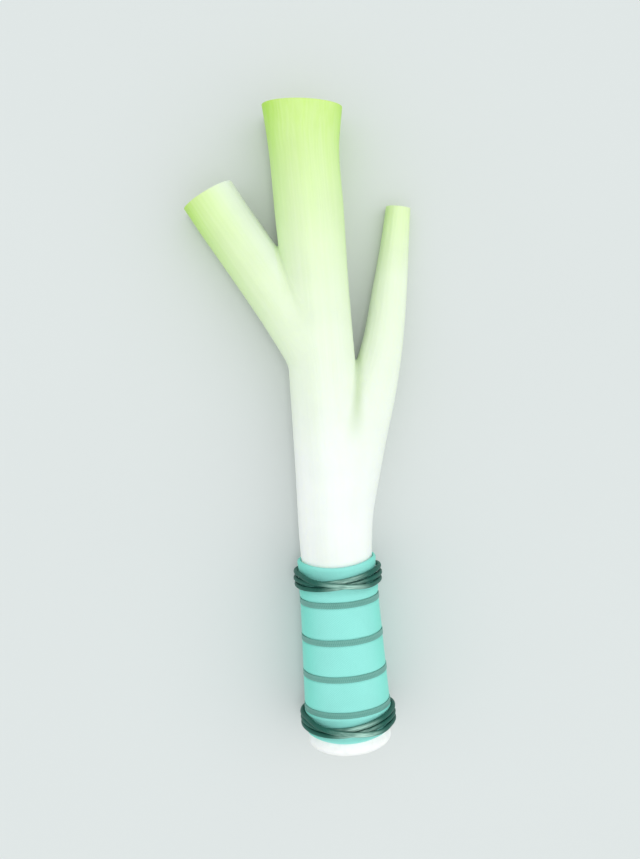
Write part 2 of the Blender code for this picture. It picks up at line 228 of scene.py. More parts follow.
# Root end: (along, radius) from under the wrap round the edge, then the face and its plate.
ROOT_FACE = -0.0020
ROOT_CUT = 0.0078
ROOT_CUT_REACH = 0.045
ROOT_PROFILE = (
    (0.0066, 0.02175), (0.0050, 0.0222), (0.0038, 0.02245), (0.0026, 0.0225), (0.0017, 0.0223),
    (0.0009, 0.0218), (0.0002, 0.0211), (-0.0005, 0.0203), (-0.0011, 0.0194), (-0.0016, 0.0184),
    (-0.0019, 0.0173), (-0.0020, 0.0160), (-0.0018, 0.0142), (-0.0017, 0.0128), (-0.0018, 0.0121),
    (-0.0023, 0.0116), (-0.0026, 0.0110), (-0.0027, 0.0096), (-0.0026, 0.0078), (-0.0027, 0.0058),
    (-0.0026, 0.0038), (-0.0026, 0.0019), (-0.0026, 0.0),
)
PLATE_RISE = 0.0008
ROOT_COUNT = 17
ROOT_FIELD = 0.0100
ROOT_RADIUS = 0.0009
ROOT_SHORTEST = 0.0009
ROOT_LONGEST = 0.0017
ROOT_SINK = 0.0012
GOLDEN_ANGLE = math.pi * (3 - math.sqrt(5))
ROOT_SEED = 7
FINE_ROOT_SEED = 11
FINE_ROOT_RADII = (0.00035, 0.00060)

# The skin round the root plate is puckered: the radius where it is deepest, its half width, its depth.
ROOT_PUCKER = (0.0135, 0.0050, 0.00016)

# How the skin is worked out: the spacing of the middle lines' rows, the rounds of each search, the
# longest step of a point, how far past a cut points are still moved, and when points are the same.
LINE_STEP = 0.0005
NEAREST_STEPS = 3
PROJECT_STEPS = 5
STEP_LIMIT = 0.001
RELAX_ROUNDS = 4
CUT_CLEAR = 0.0020
RIM_MERGE = 0.00025
WELD = 0.000001

# Cloth: the channel under each ribbon, the swell and puckers beside each tie, the turned hems, the
# lapped seam with its stitching, its two slow waves of slack, how far in from both edges they arch,
# and the points round the cloth and the ribbons. A ribbon sits a little in, and two waves move it.
CHANNEL_MARGIN = 0.0006
CHANNEL_SLOPE = 0.0005
CHANNEL_DEPTH = 0.00050
SWELL_PLACE, SWELL_WIDTH, SWELL_RISE = 0.0066, 0.0030, 0.00030
PUCKER_START, PUCKER_SLOPE = 0.0030, 0.0020
HEM_PLACE, HEM_WIDTH, HEM_RISE = 0.0012, 0.0016, 0.00022
SEAM_RISE, SEAM_SLOPE = 0.00035, 0.0005
STITCH_INSET, STITCH_WIDTH = 0.0012, 0.0005
SLACK = (0.00010, 0.00006)
ARCH_REACH = 0.0070
BAND_SEAT = 0.00002
BAND_WAVES = (0.00004, 0.00003)
ROUND_COLUMNS = 228
THREAD_MAP = "threads"

Tube = namedtuple("Tube", "length place radius widening heading")
Seen = namedtuple("Seen", "gap gradient across up outward")


def at(table, values, wanted):
    """Each column of a table read between its rows."""
    if values.ndim == 1:
        return np.interp(wanted, table, values)
    return np.column_stack([np.interp(wanted, table, column) for column in values.T])


def read(pairs, wanted):
    """The second number of each pair, read between the first ones."""
    places, values = zip(*pairs)
    return np.interp(wanted, places, values)


def unit(vectors):
    """Each row scaled to length one."""
    return vectors / np.maximum(np.linalg.norm(vectors, axis=-1, keepdims=True), 1e-12)


def ease(value):
    """Smooth step from 0 to 1."""
    value = np.clip(value, 0.0, 1.0)
    return value * value * (3 - 2 * value)


def hump(distance, half_width):
    """A soft hump: 1 at distance 0, falling to 0 at the half width."""
    return ease(1 - np.abs(distance) / half_width)


def smooth_rows(stations):
    """Dense rows on a smooth curve through the stations.

    Each span is a cubic that starts and ends with the mean slope of the spans on either side of
    its end, weighted so that the shorter span counts more.
    """
    rows = np.array(stations)
    lengths = np.linalg.norm(np.diff(rows[:, :3], axis=0), axis=1)[:, None]
    slopes = np.diff(rows, axis=0) / lengths
    inner = (slopes[:-1] * lengths[1:] + slopes[1:] * lengths[:-1]) / (lengths[:-1] + lengths[1:])
    tangents = np.vstack([slopes[:1], inner, slopes[-1:]])
    spans = [rows[:1]]
    for i, length in enumerate(lengths[:, 0]):
        u = np.linspace(0, 1, math.ceil(length / LINE_STEP) + 1)[1:, None]
        spans.append((2 * u**3 - 3 * u**2 + 1) * rows[i] + (u**3 - 2 * u**2 + u) * length * tangents[i]
                     + (3 * u**2 - 2 * u**3) * rows[i + 1] + (u**3 - u**2) * length * tangents[i + 1])
    return np.vstack(spans)


def make_tube(stations):
    """One tube's middle line in the frame, with the radius and heading of each of its rows."""
    rows = smooth_rows(stations)
    place = rows[:, :3] + (AXIS_X, ZERO_Y, 0.0)
    steps = np.linalg.norm(np.diff(place, axis=0), axis=1)
    length = np.concatenate([[0.0], np.cumsum(steps)])
    return Tube(length, place, rows[:, 3], np.gradient(rows[:, 3], length),
                unit(np.gradient(place, axis=0)))


TUBES = tuple(make_tube(stations) for stations, _, _ in LEAVES)


def closed_mesh(name, points, faces):
    """A mesh from points and quads, with the faces turned round if its volume is negative."""
    corners = points[faces]
    first = np.cross(corners[:, 1] - corners[:, 0], corners[:, 2] - corners[:, 0])
    second = np.cross(corners[:, 2] - corners[:, 0], corners[:, 3] - corners[:, 0])
    if ((first + second) * (corners[:, 0] - points.mean(axis=0))).sum() < 0:
        faces = faces[:, ::-1]
    mesh = bpy.data.meshes.new(name)
    mesh.from_pydata(points.tolist(), [], faces.tolist())
    return mesh


def grid_faces(rows, columns, rows_closed=False):
    """Quads between the points of a grid whose columns go round; its rows may close too."""
    index = np.arange(rows * columns).reshape(rows, columns)
    if rows_closed:
        index = np.vstack([index, index[:1]])
    lower, upper = index[:-1], index[1:]
    quads = np.stack([lower, np.roll(lower, -1, axis=1), np.roll(upper, -1, axis=1), upper], axis=-1)
    return quads.reshape(-1, 4)


def grid_mesh(name, points, rows_closed=False):
    """A closed mesh of a grid of points: its columns go round, and its end rows are poles or meet."""
    rows, columns = points.shape[:2]
    return closed_mesh(name, points.reshape(-1, 3), grid_faces(rows, columns, rows_closed))


def welded(mesh):
    """Merges the points that share a place, which closes poles."""
    body = bmesh.new()
    body.from_mesh(mesh)
    bmesh.ops.remove_doubles(body, verts=body.verts, dist=WELD)
    body.to_mesh(mesh)
    body.free()
    return mesh


def mesh_points(mesh):
    """The mesh's points as rows."""
    points = np.empty(len(mesh.vertices) * 3, np.float32)
    mesh.vertices.foreach_get("co", points)
    return points.reshape(-1, 3).astype(float)


def add_attribute(mesh, name, values):
    """Stores one number or vector for each point of the mesh."""
    kind, field = ("FLOAT", "value") if values.ndim == 1 else ("FLOAT_VECTOR", "vector")
    made = mesh.attributes.new(name, kind, "POINT")
    made.data.foreach_set(field, np.ascontiguousarray(values, np.float32).ravel())


def add_uv(mesh, shape, u, v, u_turn, v_turn):
    """The thread map, in metres, from u and v over a grid of points of that shape.

    A face across a closing line goes past the turn.
    """
    corners = np.empty(len(mesh.loops), np.int32)
    mesh.loops.foreach_get("vertex_index", corners)
    pair = []
    for values, turn in ((u, u_turn), (v, v_turn)):
        faces = np.broadcast_to(values, shape).ravel()[corners].reshape(-1, 4)
        faces = faces + turn * (faces < faces.max(axis=1, keepdims=True) - turn / 2)
        pair.append(faces.ravel())
    layer = mesh.uv_layers.new(name=THREAD_MAP)
    layer.data.foreach_set("uv", np.column_stack(pair).astype(np.float32).ravel())


def new_object(name, mesh, materials, slot, *nodes):
    """Puts a finished mesh in the scene in place of its solids, riding on the part's one body."""
    for material in materials:
        mesh.materials.append(material)
    made = bpy.data.objects.new(name, mesh)
    bpy.context.scene.collection.objects.link(made)
    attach(made, BODY)
    if nodes:
        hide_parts(*nodes)
    return made


# The leek's skin


def seen_from(tube, points):
    """What points see of a tube: the signed gap to its fluted skin and the gap's gradient.

    The nearest place on the middle line is where the way to the point is square to the heading.
    The gap is the distance to that place less the radius there and the flutes.
    """
    along = np.interp(points[:, 1], tube.place[:, 1], tube.length)
    for _ in range(NEAREST_STEPS):
        offset = points - at(tube.length, tube.place, along)
        heading = at(tube.length, tube.heading, along)
        along = np.clip(along + (offset * heading).sum(axis=1), 0.0, tube.length[-1])
    offset = points - at(tube.length, tube.place, along)
    heading = at(tube.length, tube.heading, along)
    side = unit(np.cross(heading, (0.0, 0.0, 1.0)))
    across = (offset * side).sum(axis=1)
    up = (offset * np.cross(side, heading)).sum(axis=1)
    angle = np.arctan2(up, across)
    flutes = sum(depth * np.sin(count * angle + turn + drift * along)
                 for count, turn, drift, depth in FLUTES)
    distance = np.linalg.norm(offset, axis=1)
    outward = unit(offset)
    gradient = outward - at(tube.length, tube.widening, along)[:, None] * heading
    return Seen(distance - at(tube.length, tube.radius, along) - flutes, gradient, across, up, outward)


def leek_field(points):
    """The gap to the blended skin, its gradient, the share of each tube and what each tube shows.

    Two gaps a and b blend into min(a, b) - w n^2 / 4, where w is the blend's width and
    n = 1 - |a - b| / w is how near they are.
    """
    seen = [seen_from(tube, points) for tube in TUBES]
    along = points[:, 1] - ZERO_Y
    gap = seen[0].gap
    shares = [np.ones(len(points)), None, None]
    for number, widths in ((1, LEFT_BLEND), (2, RIGHT_BLEND)):
        width = read(widths, along)
        near = np.clip(1 - np.abs(gap - seen[number].gap) / width, 0.0, 1.0)
        share = np.where(seen[number].gap < gap, 1 - near / 2, near / 2)
        gap = np.minimum(gap, seen[number].gap) - width * near**2 / 4
        shares = [None if old is None else old * (1 - share) for old in shares]
        shares[number] = share
    gradient = sum(share[:, None] * each.gradient for share, each in zip(shares, seen))
    return gap, gradient, shares, seen


def onto_skin(points):
    """Moves points along the gap's gradient until the gap is zero."""
    for _ in range(PROJECT_STEPS):
        gap, gradient, _, _ = leek_field(points)
        step = (gap / (gradient**2).sum(axis=1))[:, None] * gradient
        points = points - np.clip(step, -STEP_LIMIT, STEP_LIMIT)
    return points


def relaxed(points, edges, held):
    """Evens out the points: each goes to the mean of its neighbours and back onto the skin.

    The points that are held stay where they are.
    """
    count = len(points)
    first, second = edges.T
    degree = np.bincount(edges.ravel(), minlength=count)[:, None]
    for _ in range(RELAX_ROUNDS):
        sums = [np.bincount(first, column[second], count) + np.bincount(second, column[first], count)
                for column in points.T]
        points = np.where(held, points, onto_skin(np.column_stack(sums) / degree))
    return points


def rough_tube(tube, sides=32, step=8):
    """A closed round tube along a middle line: circles square to the heading, and a pole at each end."""
    rows = np.append(np.arange(0, len(tube.place) - 1, step), len(tube.place) - 1)
    place, heading = tube.place[rows], tube.heading[rows]
    side = unit(np.cross(heading, (0.0, 0.0, 1.0)))
    top = np.cross(side, heading)
    angle = np.linspace(0, 2 * np.pi, sides, endpoint=False)[None, :, None]
    circle = np.cos(angle) * side[:, None] + np.sin(angle) * top[:, None]
    rings = place[:, None] + tube.radius[rows][:, None, None] * circle
    ends = [np.repeat(end[None, None], sides, axis=1) for end in (place[0], place[-1])]
    return grid_mesh("rough_tube", np.concatenate([ends[0], rings, ends[1]]))


def blended_skin(voxel):
    """The leek's skin before the cuts: three tubes fused by a voxel remesh, then drawn onto the skin."""
    body = bmesh.new()
    for tube in TUBES:
        rough = welded(rough_tube(tube))
        body.from_mesh(rough)
        bpy.data.meshes.remove(rough)
    mesh = bpy.data.meshes.new("skin")
    body.to_mesh(mesh)
    body.free()
    carrier = bpy.data.objects.new("skin", mesh)
    bpy.context.scene.collection.objects.link(carrier)
    remesh = carrier.modifiers.new("fuse", "REMESH")
    remesh.mode = "VOXEL"
    remesh.voxel_size = voxel
    depsgraph = bpy.context.evaluated_depsgraph_get()
    skin = bpy.data.meshes.new_from_object(carrier.evaluated_get(depsgraph))
    bpy.data.objects.remove(carrier)
    edges = np.empty(len(skin.edges) * 2, np.int32)
    skin.edges.foreach_get("vertices", edges)
    points = mesh_points(skin)
    held = past_cuts(points)[:, None]
    points = relaxed(np.where(held, points, onto_skin(points)), edges.reshape(-1, 2), held)
    skin.vertices.foreach_set("co", points.astype(np.float32).ravel())
    return skin


def past_cuts(points):
    """Which points lie well past a leaf's cut, near the tube's closed end that is cut off."""
    past = np.zeros(len(points), bool)
    for stations, turn, _ in LEAVES:
        place, direction, reach = knife(stations, turn)
        offset = points - np.array(place)
        near = np.linalg.norm(offset, axis=1) < reach
        past |= near & (offset @ np.array(direction) > CUT_CLEAR)
    return past


def cut_off(body, place, direction, reach):
    """Cuts the skin near a place along a plane, drops what lies past it, and returns the edge loop."""
    near = [face for face in body.faces if (face.calc_center_median() - place).length < reach]
    geometry = set(near)
    for face in near:
        geometry.update(face.edges)
        geometry.update(face.verts)
    bmesh.ops.bisect_plane(body, geom=list(geometry), plane_co=place, plane_no=direction,
                           clear_outer=True)

    def rim():
        return [vert for vert in body.verts if vert.is_boundary and (vert.co - place).length < reach]

    bmesh.ops.remove_doubles(body, verts=rim(), dist=RIM_MERGE)
    return np.array([vert.co for vert in rim()], float)


def rim_turns(rim, place, direction):
    """The rim in order round the cut, with each point's angle and its distance from the middle."""
    side = unit(np.cross(direction, (0.0, 0.0, 1.0)))
    top = np.cross(side, direction)
    offset = rim - place
    angle = np.arctan2(offset @ top, offset @ side)
    order = np.argsort(angle)
    return rim[order], angle[order], np.linalg.norm(offset, axis=1)[order]


def end_grid(name, rim, place, direction, radii, rise, material_index):
    """An end surface: rings that follow the rim's own outline, from the rim to a pole in the middle.

    radii and rise give each ring's radius at each spoke, as the rim's mean would have it, and its
    height past the cut.
    """
    rim, _, reach = rim_turns(rim, place, direction)
    share = radii / reach.mean()
    rings = place + share[:, :, None] * (rim - place)[None] + rise[:, :, None] * direction
    mesh = grid_mesh(name, np.concatenate([rim[None], rings]))
    mesh.polygons.foreach_set("material_index", np.full(len(mesh.polygons), material_index, np.int32))
    return mesh


def layered_end(rim, place, direction, layers):
    """A cut leaf's end: closed rings of leaf layers with grooves between them.

    Going inwards, each groove is six rings deep in the middle, the layer tops between them sit a
    little under the cut, and the rings grow more oval towards the heart.
    """
    draw = np.random.default_rng(LAYER_SEED + len(layers))
    _, angle, reach = rim_turns(rim, place, direction)
    edge, half, depth = np.array(layers).T
    across = (edge[:, None] + half[:, None] * GROOVE_ACROSS).ravel()
    deep = (depth[:, None] * GROOVE_DEEP).ravel()
    crest = (edge + np.append(edge[1:], 0.0)) / 2
    level = draw.uniform(*LAYER_TOP_DROP, len(layers))
    radius = np.concatenate([[reach.mean() - RIM_INSET], across, crest, [0.0]])
    drop = np.concatenate([[0.0], deep, level * 0.3, [level[-1]]])
    order = np.argsort(-radius, kind="stable")
    radius, drop = radius[order], drop[order]
    inward = 1 - radius / reach.mean()
    drift = (RING_DRIFT * ease(inward * 5) * (1 - ease(inward * 8 - 7)))[:, None]
    inward, off_pole = inward[:, None], radius[:, None] > 0
    wobble = drift * (np.sin(2 * angle + 0.6 + 2.5 * inward) + 0.5 * np.sin(3 * angle + 9 * inward)
                      + 0.25 * np.sin(7 * angle + 31 * inward))
    dish = RING_DISH * (1 + np.sin(5 * angle + 23 * inward)) * (inward > 0.02) * off_pole
    stretch = radius[:, None] + wobble * off_pole
    return end_grid("layered_end", rim, place, direction, stretch, -drop[:, None] - dish, 1)


def root_end(rim, place, direction):
    """The rounded root end with its plate: a profile carried round, lightly puckered near the plate."""
    _, angle, _ = rim_turns(rim, place, direction)
    along, radius = np.array(smooth_profile(ROOT_PROFILE)).T
    deepest, half_width, depth = ROOT_PUCKER
    pucker = depth * hump(radius - deepest, half_width)[:, None]
    ripple = pucker * (np.sin(23 * angle + 0.8) + 0.6 * np.sin(37 * angle + 2.0))
    rise = (ROOT_CUT - along)[:, None] - np.abs(ripple)
    return end_grid("root_end", rim, place, direction, np.repeat(radius[:, None], len(angle), axis=1),
                    rise, 2)


def smooth_profile(points, step=0.00035):
    """A profile's points joined by short steps, rounded by a running mean of three."""
    points = np.array(points)
    length = np.concatenate([[0.0], np.cumsum(np.linalg.norm(np.diff(points, axis=0), axis=1))])
    fine = at(length, points, np.linspace(0, length[-1], int(length[-1] / step)))
    fine[1:-1] = (fine[:-2] + fine[1:-1] + fine[2:]) / 3
    return fine


def knife(stations, turn):
    """Place, direction and reach of the cut through a tube's second-last station."""
    place = Vector(stations[-2][:3])
    direction = (Vector(stations[-1][:3]) - place).normalized()
    direction.rotate(Euler((0.0, 0.0, turn)))
    return place + Vector((AXIS_X, ZERO_Y, 0.0)), direction, stations[-1][3] * 2


def leek_mesh(voxel):
    """The whole leek as one closed mesh: skin, three layered ends and the root end."""
    skin = blended_skin(voxel)
    body = bmesh.new()
    body.from_mesh(skin)
    bpy.data.meshes.remove(skin)
    for stations, turn, layers in LEAVES:
        place, direction, reach = knife(stations, turn)
        rim = cut_off(body, place, direction, reach)
        body.from_mesh(layered_end(rim, np.array(place), np.array(direction), layers))
    place, direction = Vector((AXIS_X, ZERO_Y + ROOT_CUT, AXIS_Z)), Vector((0.0, -1.0, 0.0))
    rim = cut_off(body, place, direction, ROOT_CUT_REACH)
    body.from_mesh(root_end(rim, np.array(place), np.array(direction)))
    bmesh.ops.remove_doubles(body, verts=body.verts, dist=WELD)
    bmesh.ops.recalc_face_normals(body, faces=body.faces)
    mesh = bpy.data.meshes.new("leek")
    body.to_mesh(mesh)
    body.free()
    points = mesh_points(mesh)
    points[:, 2] = np.maximum(points[:, 2], 0.0)
    mesh.vertices.foreach_set("co", points.astype(np.float32).ravel())
    paint_guides(mesh, points)
    mesh.shade_smooth()
    mesh.set_sharp_from_angle(angle=math.radians(48))
    return mesh


def paint_guides(mesh, points):
    """What the leek's materials read at each point.

    grain is the place across and up from the blended middle line and along the leek, so that its
    first two numbers hardly change along a leaf. green is how green the leaf is there, with painted
    light on the left leaf's inner side and painted shade on its outer side. shade weighs the painted
    light and shade by how far the skin turns from the light side, the crease mark is painted shade
    by how near two leaves' skins are, and layer is how far out from the middle line it lies, from 0
    to 1 at the skin.
    """
    _, _, shares, seen = leek_field(points)
    along = points[:, 1] - ZERO_Y

    def blend(values):
        return sum(share * value for share, value in zip(shares, values))

    across, up = blend(each.across for each in seen), blend(each.up for each in seen)
    greens = [read(green, along) for green in (CENTRE_GREEN, LEFT_GREEN, RIGHT_GREEN)]
    outward = unit(blend(each.outward.T for each in seen).T)
    radius = blend(np.hypot(each.across, each.up) - each.gap for each in seen)
    layer = np.clip(np.hypot(across, up) / np.maximum(radius, 0.001), 0.0, 1.0)
    # Painted light on the left leaf's inner side and painted shade on its outer side, made by changing how
    # green it is.
    sideways = outward[:, 0] * layer
    greens[1] *= 1 - np.where(sideways > 0, LEFT_PAINTED_LIGHT_INSIDE, LEFT_PAINTED_SHADE_OUTSIDE) * sideways
    facing = outward @ unit(np.array(LIGHT_SIDE))
    # Painted shade along each crease between the shank and a side leaf.
    crease_shades = [deep * hump(seen[0].gap - beside.gap + offset, half_width)
               * ease((along - start) / CREASE_SHADE_START_LENGTH)
               for beside, (offset, half_width, start, deep) in zip(seen[1:], (LEFT_CREASE_SHADE, RIGHT_CREASE_SHADE))]
    # Painted shade where the skin turns from the light side, less on the right leaf.
    shade = ease((SHADE_START - facing) / SHADE_RANGE) * (1 - RIGHT_BRIGHTER * shares[2])
    add_attribute(mesh, "grain", np.column_stack([across, up, along]))
    add_attribute(mesh, "green", blend(greens))
    add_attribute(mesh, "shade", shade)
    add_attribute(mesh, "crease_shade", np.maximum(*crease_shades))
    add_attribute(mesh, "layer", layer)


# Trimmed roots


def root_stubs(places, lengths, radii, tips):
    """Short tapered roots as closed meshes in one: rings along -Y, rounded over at a rough tip.

    places are (x, z) from the plate's middle. Each root starts in the plate and stands out by its
    length less what is sunk.
    """
    sides = 9
    angle = np.linspace(0, 2 * np.pi, sides, endpoint=False)
    along = np.array((0.0, 0.0, 0.35, 0.70, 0.90, 0.98, 0.99, 1.0))
    width = np.array((0.0, 1.06, 1.0, 1.0, 1.0, 0.78, 0.42, 0.0))
    taper = 1 + (tips[:, None] - 1) * along
    ring = radii[:, None] * width * taper
    ragged = 1 + 0.10 * np.sin(3 * angle[None, None] + 7 * np.arange(len(radii))[:, None, None])
    x = AXIS_X + places[:, 0, None, None] + ring[:, :, None] * np.cos(angle) * ragged
    z = AXIS_Z + places[:, 1, None, None] + ring[:, :, None] * np.sin(angle) * ragged
    y = ZERO_Y + ROOT_FACE + ROOT_SINK - PLATE_RISE - (along * lengths[:, None])[:, :, None] + 0 * x
    points = np.stack([x, y, z], axis=-1)
    rows, columns = points.shape[1:3]
    one = grid_faces(rows, columns)
    faces = (one[None] + (np.arange(len(radii)) * rows * columns)[:, None, None]).reshape(-1, 4)
    return welded(closed_mesh("trimmed_roots", points.reshape(-1, 3), faces))


def sunflower(count, field, turn=0.0):
    """Places over a disc, each a golden angle on from the last, at equal areas."""
    number = np.arange(count)
    reach = field * np.sqrt((number + 0.5) / count)
    angle = number * GOLDEN_ANGLE + turn
    return np.column_stack([reach * np.cos(angle), reach * np.sin(angle)])


def roots_mesh(fine_count):
    """The stout roots of the solid and finer ones between them."""
    draw = random.Random(ROOT_SEED)
    sizes = np.array([(draw.uniform(ROOT_SHORTEST, ROOT_LONGEST) + ROOT_SINK, draw.uniform(0.6, 0.85))
                      for _ in range(ROOT_COUNT)])
    spread = np.random.default_rng(FINE_ROOT_SEED)
    fine = sunflower(fine_count, ROOT_FIELD * 1.04, 0.9)
    return root_stubs(
        np.concatenate([sunflower(ROOT_COUNT, ROOT_FIELD), fine]),
        np.concatenate([sizes[:, 0], spread.uniform(0.4, 1.0, fine_count) * ROOT_LONGEST + ROOT_SINK]),
        np.concatenate([np.full(ROOT_COUNT, ROOT_RADIUS), spread.uniform(*FINE_ROOT_RADII, fine_count)]),
        np.concatenate([sizes[:, 1], spread.uniform(0.55, 0.9, fine_count)]),
    )


# Cloth wrap, ribbons and cords


def cloth_radius(along):
    """Outer radius of the cloth between its stations."""
    return read(WRAP_STATIONS, along)


def round_angles():
    """One row of angles round the cloth or a ribbon."""
    return np.linspace(0, 2 * np.pi, ROUND_COLUMNS, endpoint=False)[None]


def wall_profile(hem):
    """Where the cloth's wall runs, as columns along and in from its outer side.

    It goes up the outer side, round the upper edge in a half circle, down the inner side and round
    the lower edge.
    """
    outer = np.linspace(WRAP_START + hem, WRAP_END - hem, 156)
    arc = np.linspace(0, np.pi, 9)[1:-1]
    inner = np.linspace(WRAP_END - hem, WRAP_START + hem, 32)
    along = (outer, WRAP_END - hem + hem * np.sin(arc), inner, WRAP_START + hem - hem * np.sin(arc))
    depth = (0 * outer, hem * (1 - np.cos(arc)), 0 * inner + WRAP_WALL, hem * (1 + np.cos(arc)))
    return np.concatenate(along)[:, None], np.concatenate(depth)[:, None]


def pulled_by_ties(settings, along, angle):
    """How the cloth stands out beside the ties: a soft swell on either side and small puckers."""
    rise = 0.0
    for place, turn in ((UPPER_TIE_PLACE, 0.0), (LOWER_TIE_PLACE, 1.7)):
        away = np.abs(along - place)
        pull = ease((away - PUCKER_START) / PUCKER_SLOPE) * hump(away, settings.pucker_reach)
        folds = (np.sin(31 * angle + turn) + 0.7 * np.sin(19 * angle + 2 * turn)
                 + 0.6 * np.sin(47 * angle + 3 * turn)) / 2.3
        swell = SWELL_RISE * hump(away - SWELL_PLACE, SWELL_WIDTH)
        rise = rise + swell + settings.pucker_depth * pull * folds
    return rise


def wrap_mesh(settings):
    """The cloth sleeve: a wall profile carried round the shank.

    The outer side dips under each ribbon, stands out beside each tie, and has a lapped seam
    underneath with a row of stitching near each of its sides. Both edges are turned hems, and they
    arch towards the leaves at the sides by edge_arch sin(angle)^2. side is painted shade, 1 where
    the cloth turns away from the light side.
    """
    hem = WRAP_WALL / 2
    along, depth = wall_profile(hem)
    angle = round_angles()
    dips = sum(ease((BAND_WIDTH / 2 + CHANNEL_MARGIN - np.abs(along - place)) / CHANNEL_SLOPE)
               for place in BAND_PLACES)
    hems = HEM_RISE * (hump(along - WRAP_START - HEM_PLACE, HEM_WIDTH)
                       + hump(along - WRAP_END + HEM_PLACE, HEM_WIDTH))
    from_seam = (angle - settings.seam_angle + np.pi) % (2 * np.pi) - np.pi
    lap = np.abs(from_seam * cloth_radius(along)) - settings.seam_width / 2
    seam = SEAM_RISE * ease(-lap / SEAM_SLOPE)
    slack = SLACK[0] * np.sin(3 * angle + 40 * along) + SLACK[1] * np.sin(7 * angle - 90 * along)
    rise = (pulled_by_ties(settings, along, angle) + hems + seam + slack * (1 - np.clip(dips, 0, 1))
            - CHANNEL_DEPTH * dips)
    radius = cloth_radius(along) - depth + (1 - depth / WRAP_WALL) * rise
    at_edges = ease((along - WRAP_END) / ARCH_REACH + 1) + ease((WRAP_START - along) / ARCH_REACH + 1)
    arch = settings.edge_arch * at_edges * np.sin(angle) ** 2
    mesh = grid_mesh("wrap", ring_points(radius, along + arch, angle), rows_closed=True)
    run = np.cumsum(np.hypot(np.diff(along[:, 0], prepend=along[0]), np.diff(depth[:, 0], prepend=0.0)))
    mean_radius = cloth_radius((WRAP_START + WRAP_END) / 2)
    add_uv(mesh, radius.shape, angle * mean_radius, run[:, None], 2 * np.pi * mean_radius, run[-1] + hem)
    # Painted shade on the cloth's sides, where it turns away from the light side.
    cloth_painted_shade = ease((0.95 + np.cos(angle - 0.06)) / 0.65)
    add_attribute(mesh, "stitch", hump(lap + STITCH_INSET, STITCH_WIDTH).ravel())
    add_attribute(mesh, "side", np.broadcast_to(cloth_painted_shade, radius.shape).ravel())
    mesh.shade_smooth()
    return mesh


def ring_points(radius, along, angle):
    """Points round the leek's axis. Angle 0 is straight down, and a quarter turn on is towards -X."""
    x = AXIS_X - radius * np.sin(angle)
    z = AXIS_Z - radius * np.cos(angle)
    y = np.broadcast_to(ZERO_Y + along, radius.shape)
    return np.stack([x, y, z], axis=-1)


def band_mesh(name, place, around=28):
    """A flat ribbon: a rounded, slightly crowned section carried round, on the cloth's own slope.

    The section is a superellipse, |x / a|^5 + |y / b|^5 = 1.
    """
    turn = np.linspace(0, 2 * np.pi, around, endpoint=False)
    power = 2 / 5
    across = BAND_WIDTH / 2 * np.sign(np.cos(turn)) * np.abs(np.cos(turn)) ** power
    lift = BAND_THICKNESS / 2 * np.sign(np.sin(turn)) * np.abs(np.sin(turn)) ** power
    along = (place + across)[:, None]
    angle = round_angles()
    middle = cloth_radius(along) - BAND_SEAT
    wave = (BAND_WAVES[0] * np.sin(5 * angle + 700 * place)
            + BAND_WAVES[1] * np.sin(11 * angle + 300 * place))
    points = ring_points(middle + lift[:, None] + wave, along + wave, angle)
    mesh = grid_mesh(name, points, rows_closed=True)
    mean = cloth_radius(place)
    run = np.cumsum(np.hypot(np.diff(across, prepend=across[-1]), np.diff(lift, prepend=lift[-1])))
    add_uv(mesh, points.shape[:2], angle * mean, run[:, None], 2 * np.pi * mean, run[-1])
    mesh.shade_smooth()
    return mesh


def tie_line(place, crown, lean, tuck, per_turn):
    """Middle line of a cord wound three times round the wrap and joined end to end.

    Each turn starts and ends underneath. Over the front the first two turns move one lane towards
    the leaves, and the third rises and crosses over both, back to the first lane. At both sides
    the lanes spread out and lean towards the leaves, and at the left side a tuck draws them closer.
    """
    count = TURNS * per_turn
    turn = np.arange(count) // per_turn
    angle = 2 * np.pi * (np.arange(count) % per_turn) / per_turn
    from_front = angle - np.pi
    start_lane = np.array([-1.0, 0.0, 1.0])[turn]
    end_lane = np.array([0.0, 1.0, -1.0])[turn]
    passed = ease((from_front + CROSSING_HALF_ANGLE) / (2 * CROSSING_HALF_ANGLE))
    lane = start_lane + (end_lane - start_lane) * passed
    front = np.clip(-np.cos(angle), 0.0, 1.0) ** 2
    back = np.clip(np.cos(angle), 0.0, 1.0) ** 2
    pitch = (STRAND_PITCH_SIDE + (STRAND_PITCH_FRONT - STRAND_PITCH_SIDE) * front
             + (STRAND_PITCH_BACK - STRAND_PITCH_SIDE) * back)
    risen = ease((RISE_OUTER_ANGLE - np.abs(from_front)) / (RISE_OUTER_ANGLE - RISE_INNER_ANGLE))
    rise = CROSSING_RISE * risen * (turn == TURNS - 1)
    crowned = crown * np.sin(angle) ** 2 * (1 - np.abs(lane))
    tucked = tuck * np.clip(np.sin(angle), 0.0, 1.0) ** 2
    radius = cloth_radius(place) - WAIST_DEPTH + TIE_GAP + CORD_RADIUS + rise + crowned
    along = place + lane * (pitch - tucked) + lean * np.sin(angle) ** 2 + tucked
    return ring_points(radius, along, angle)


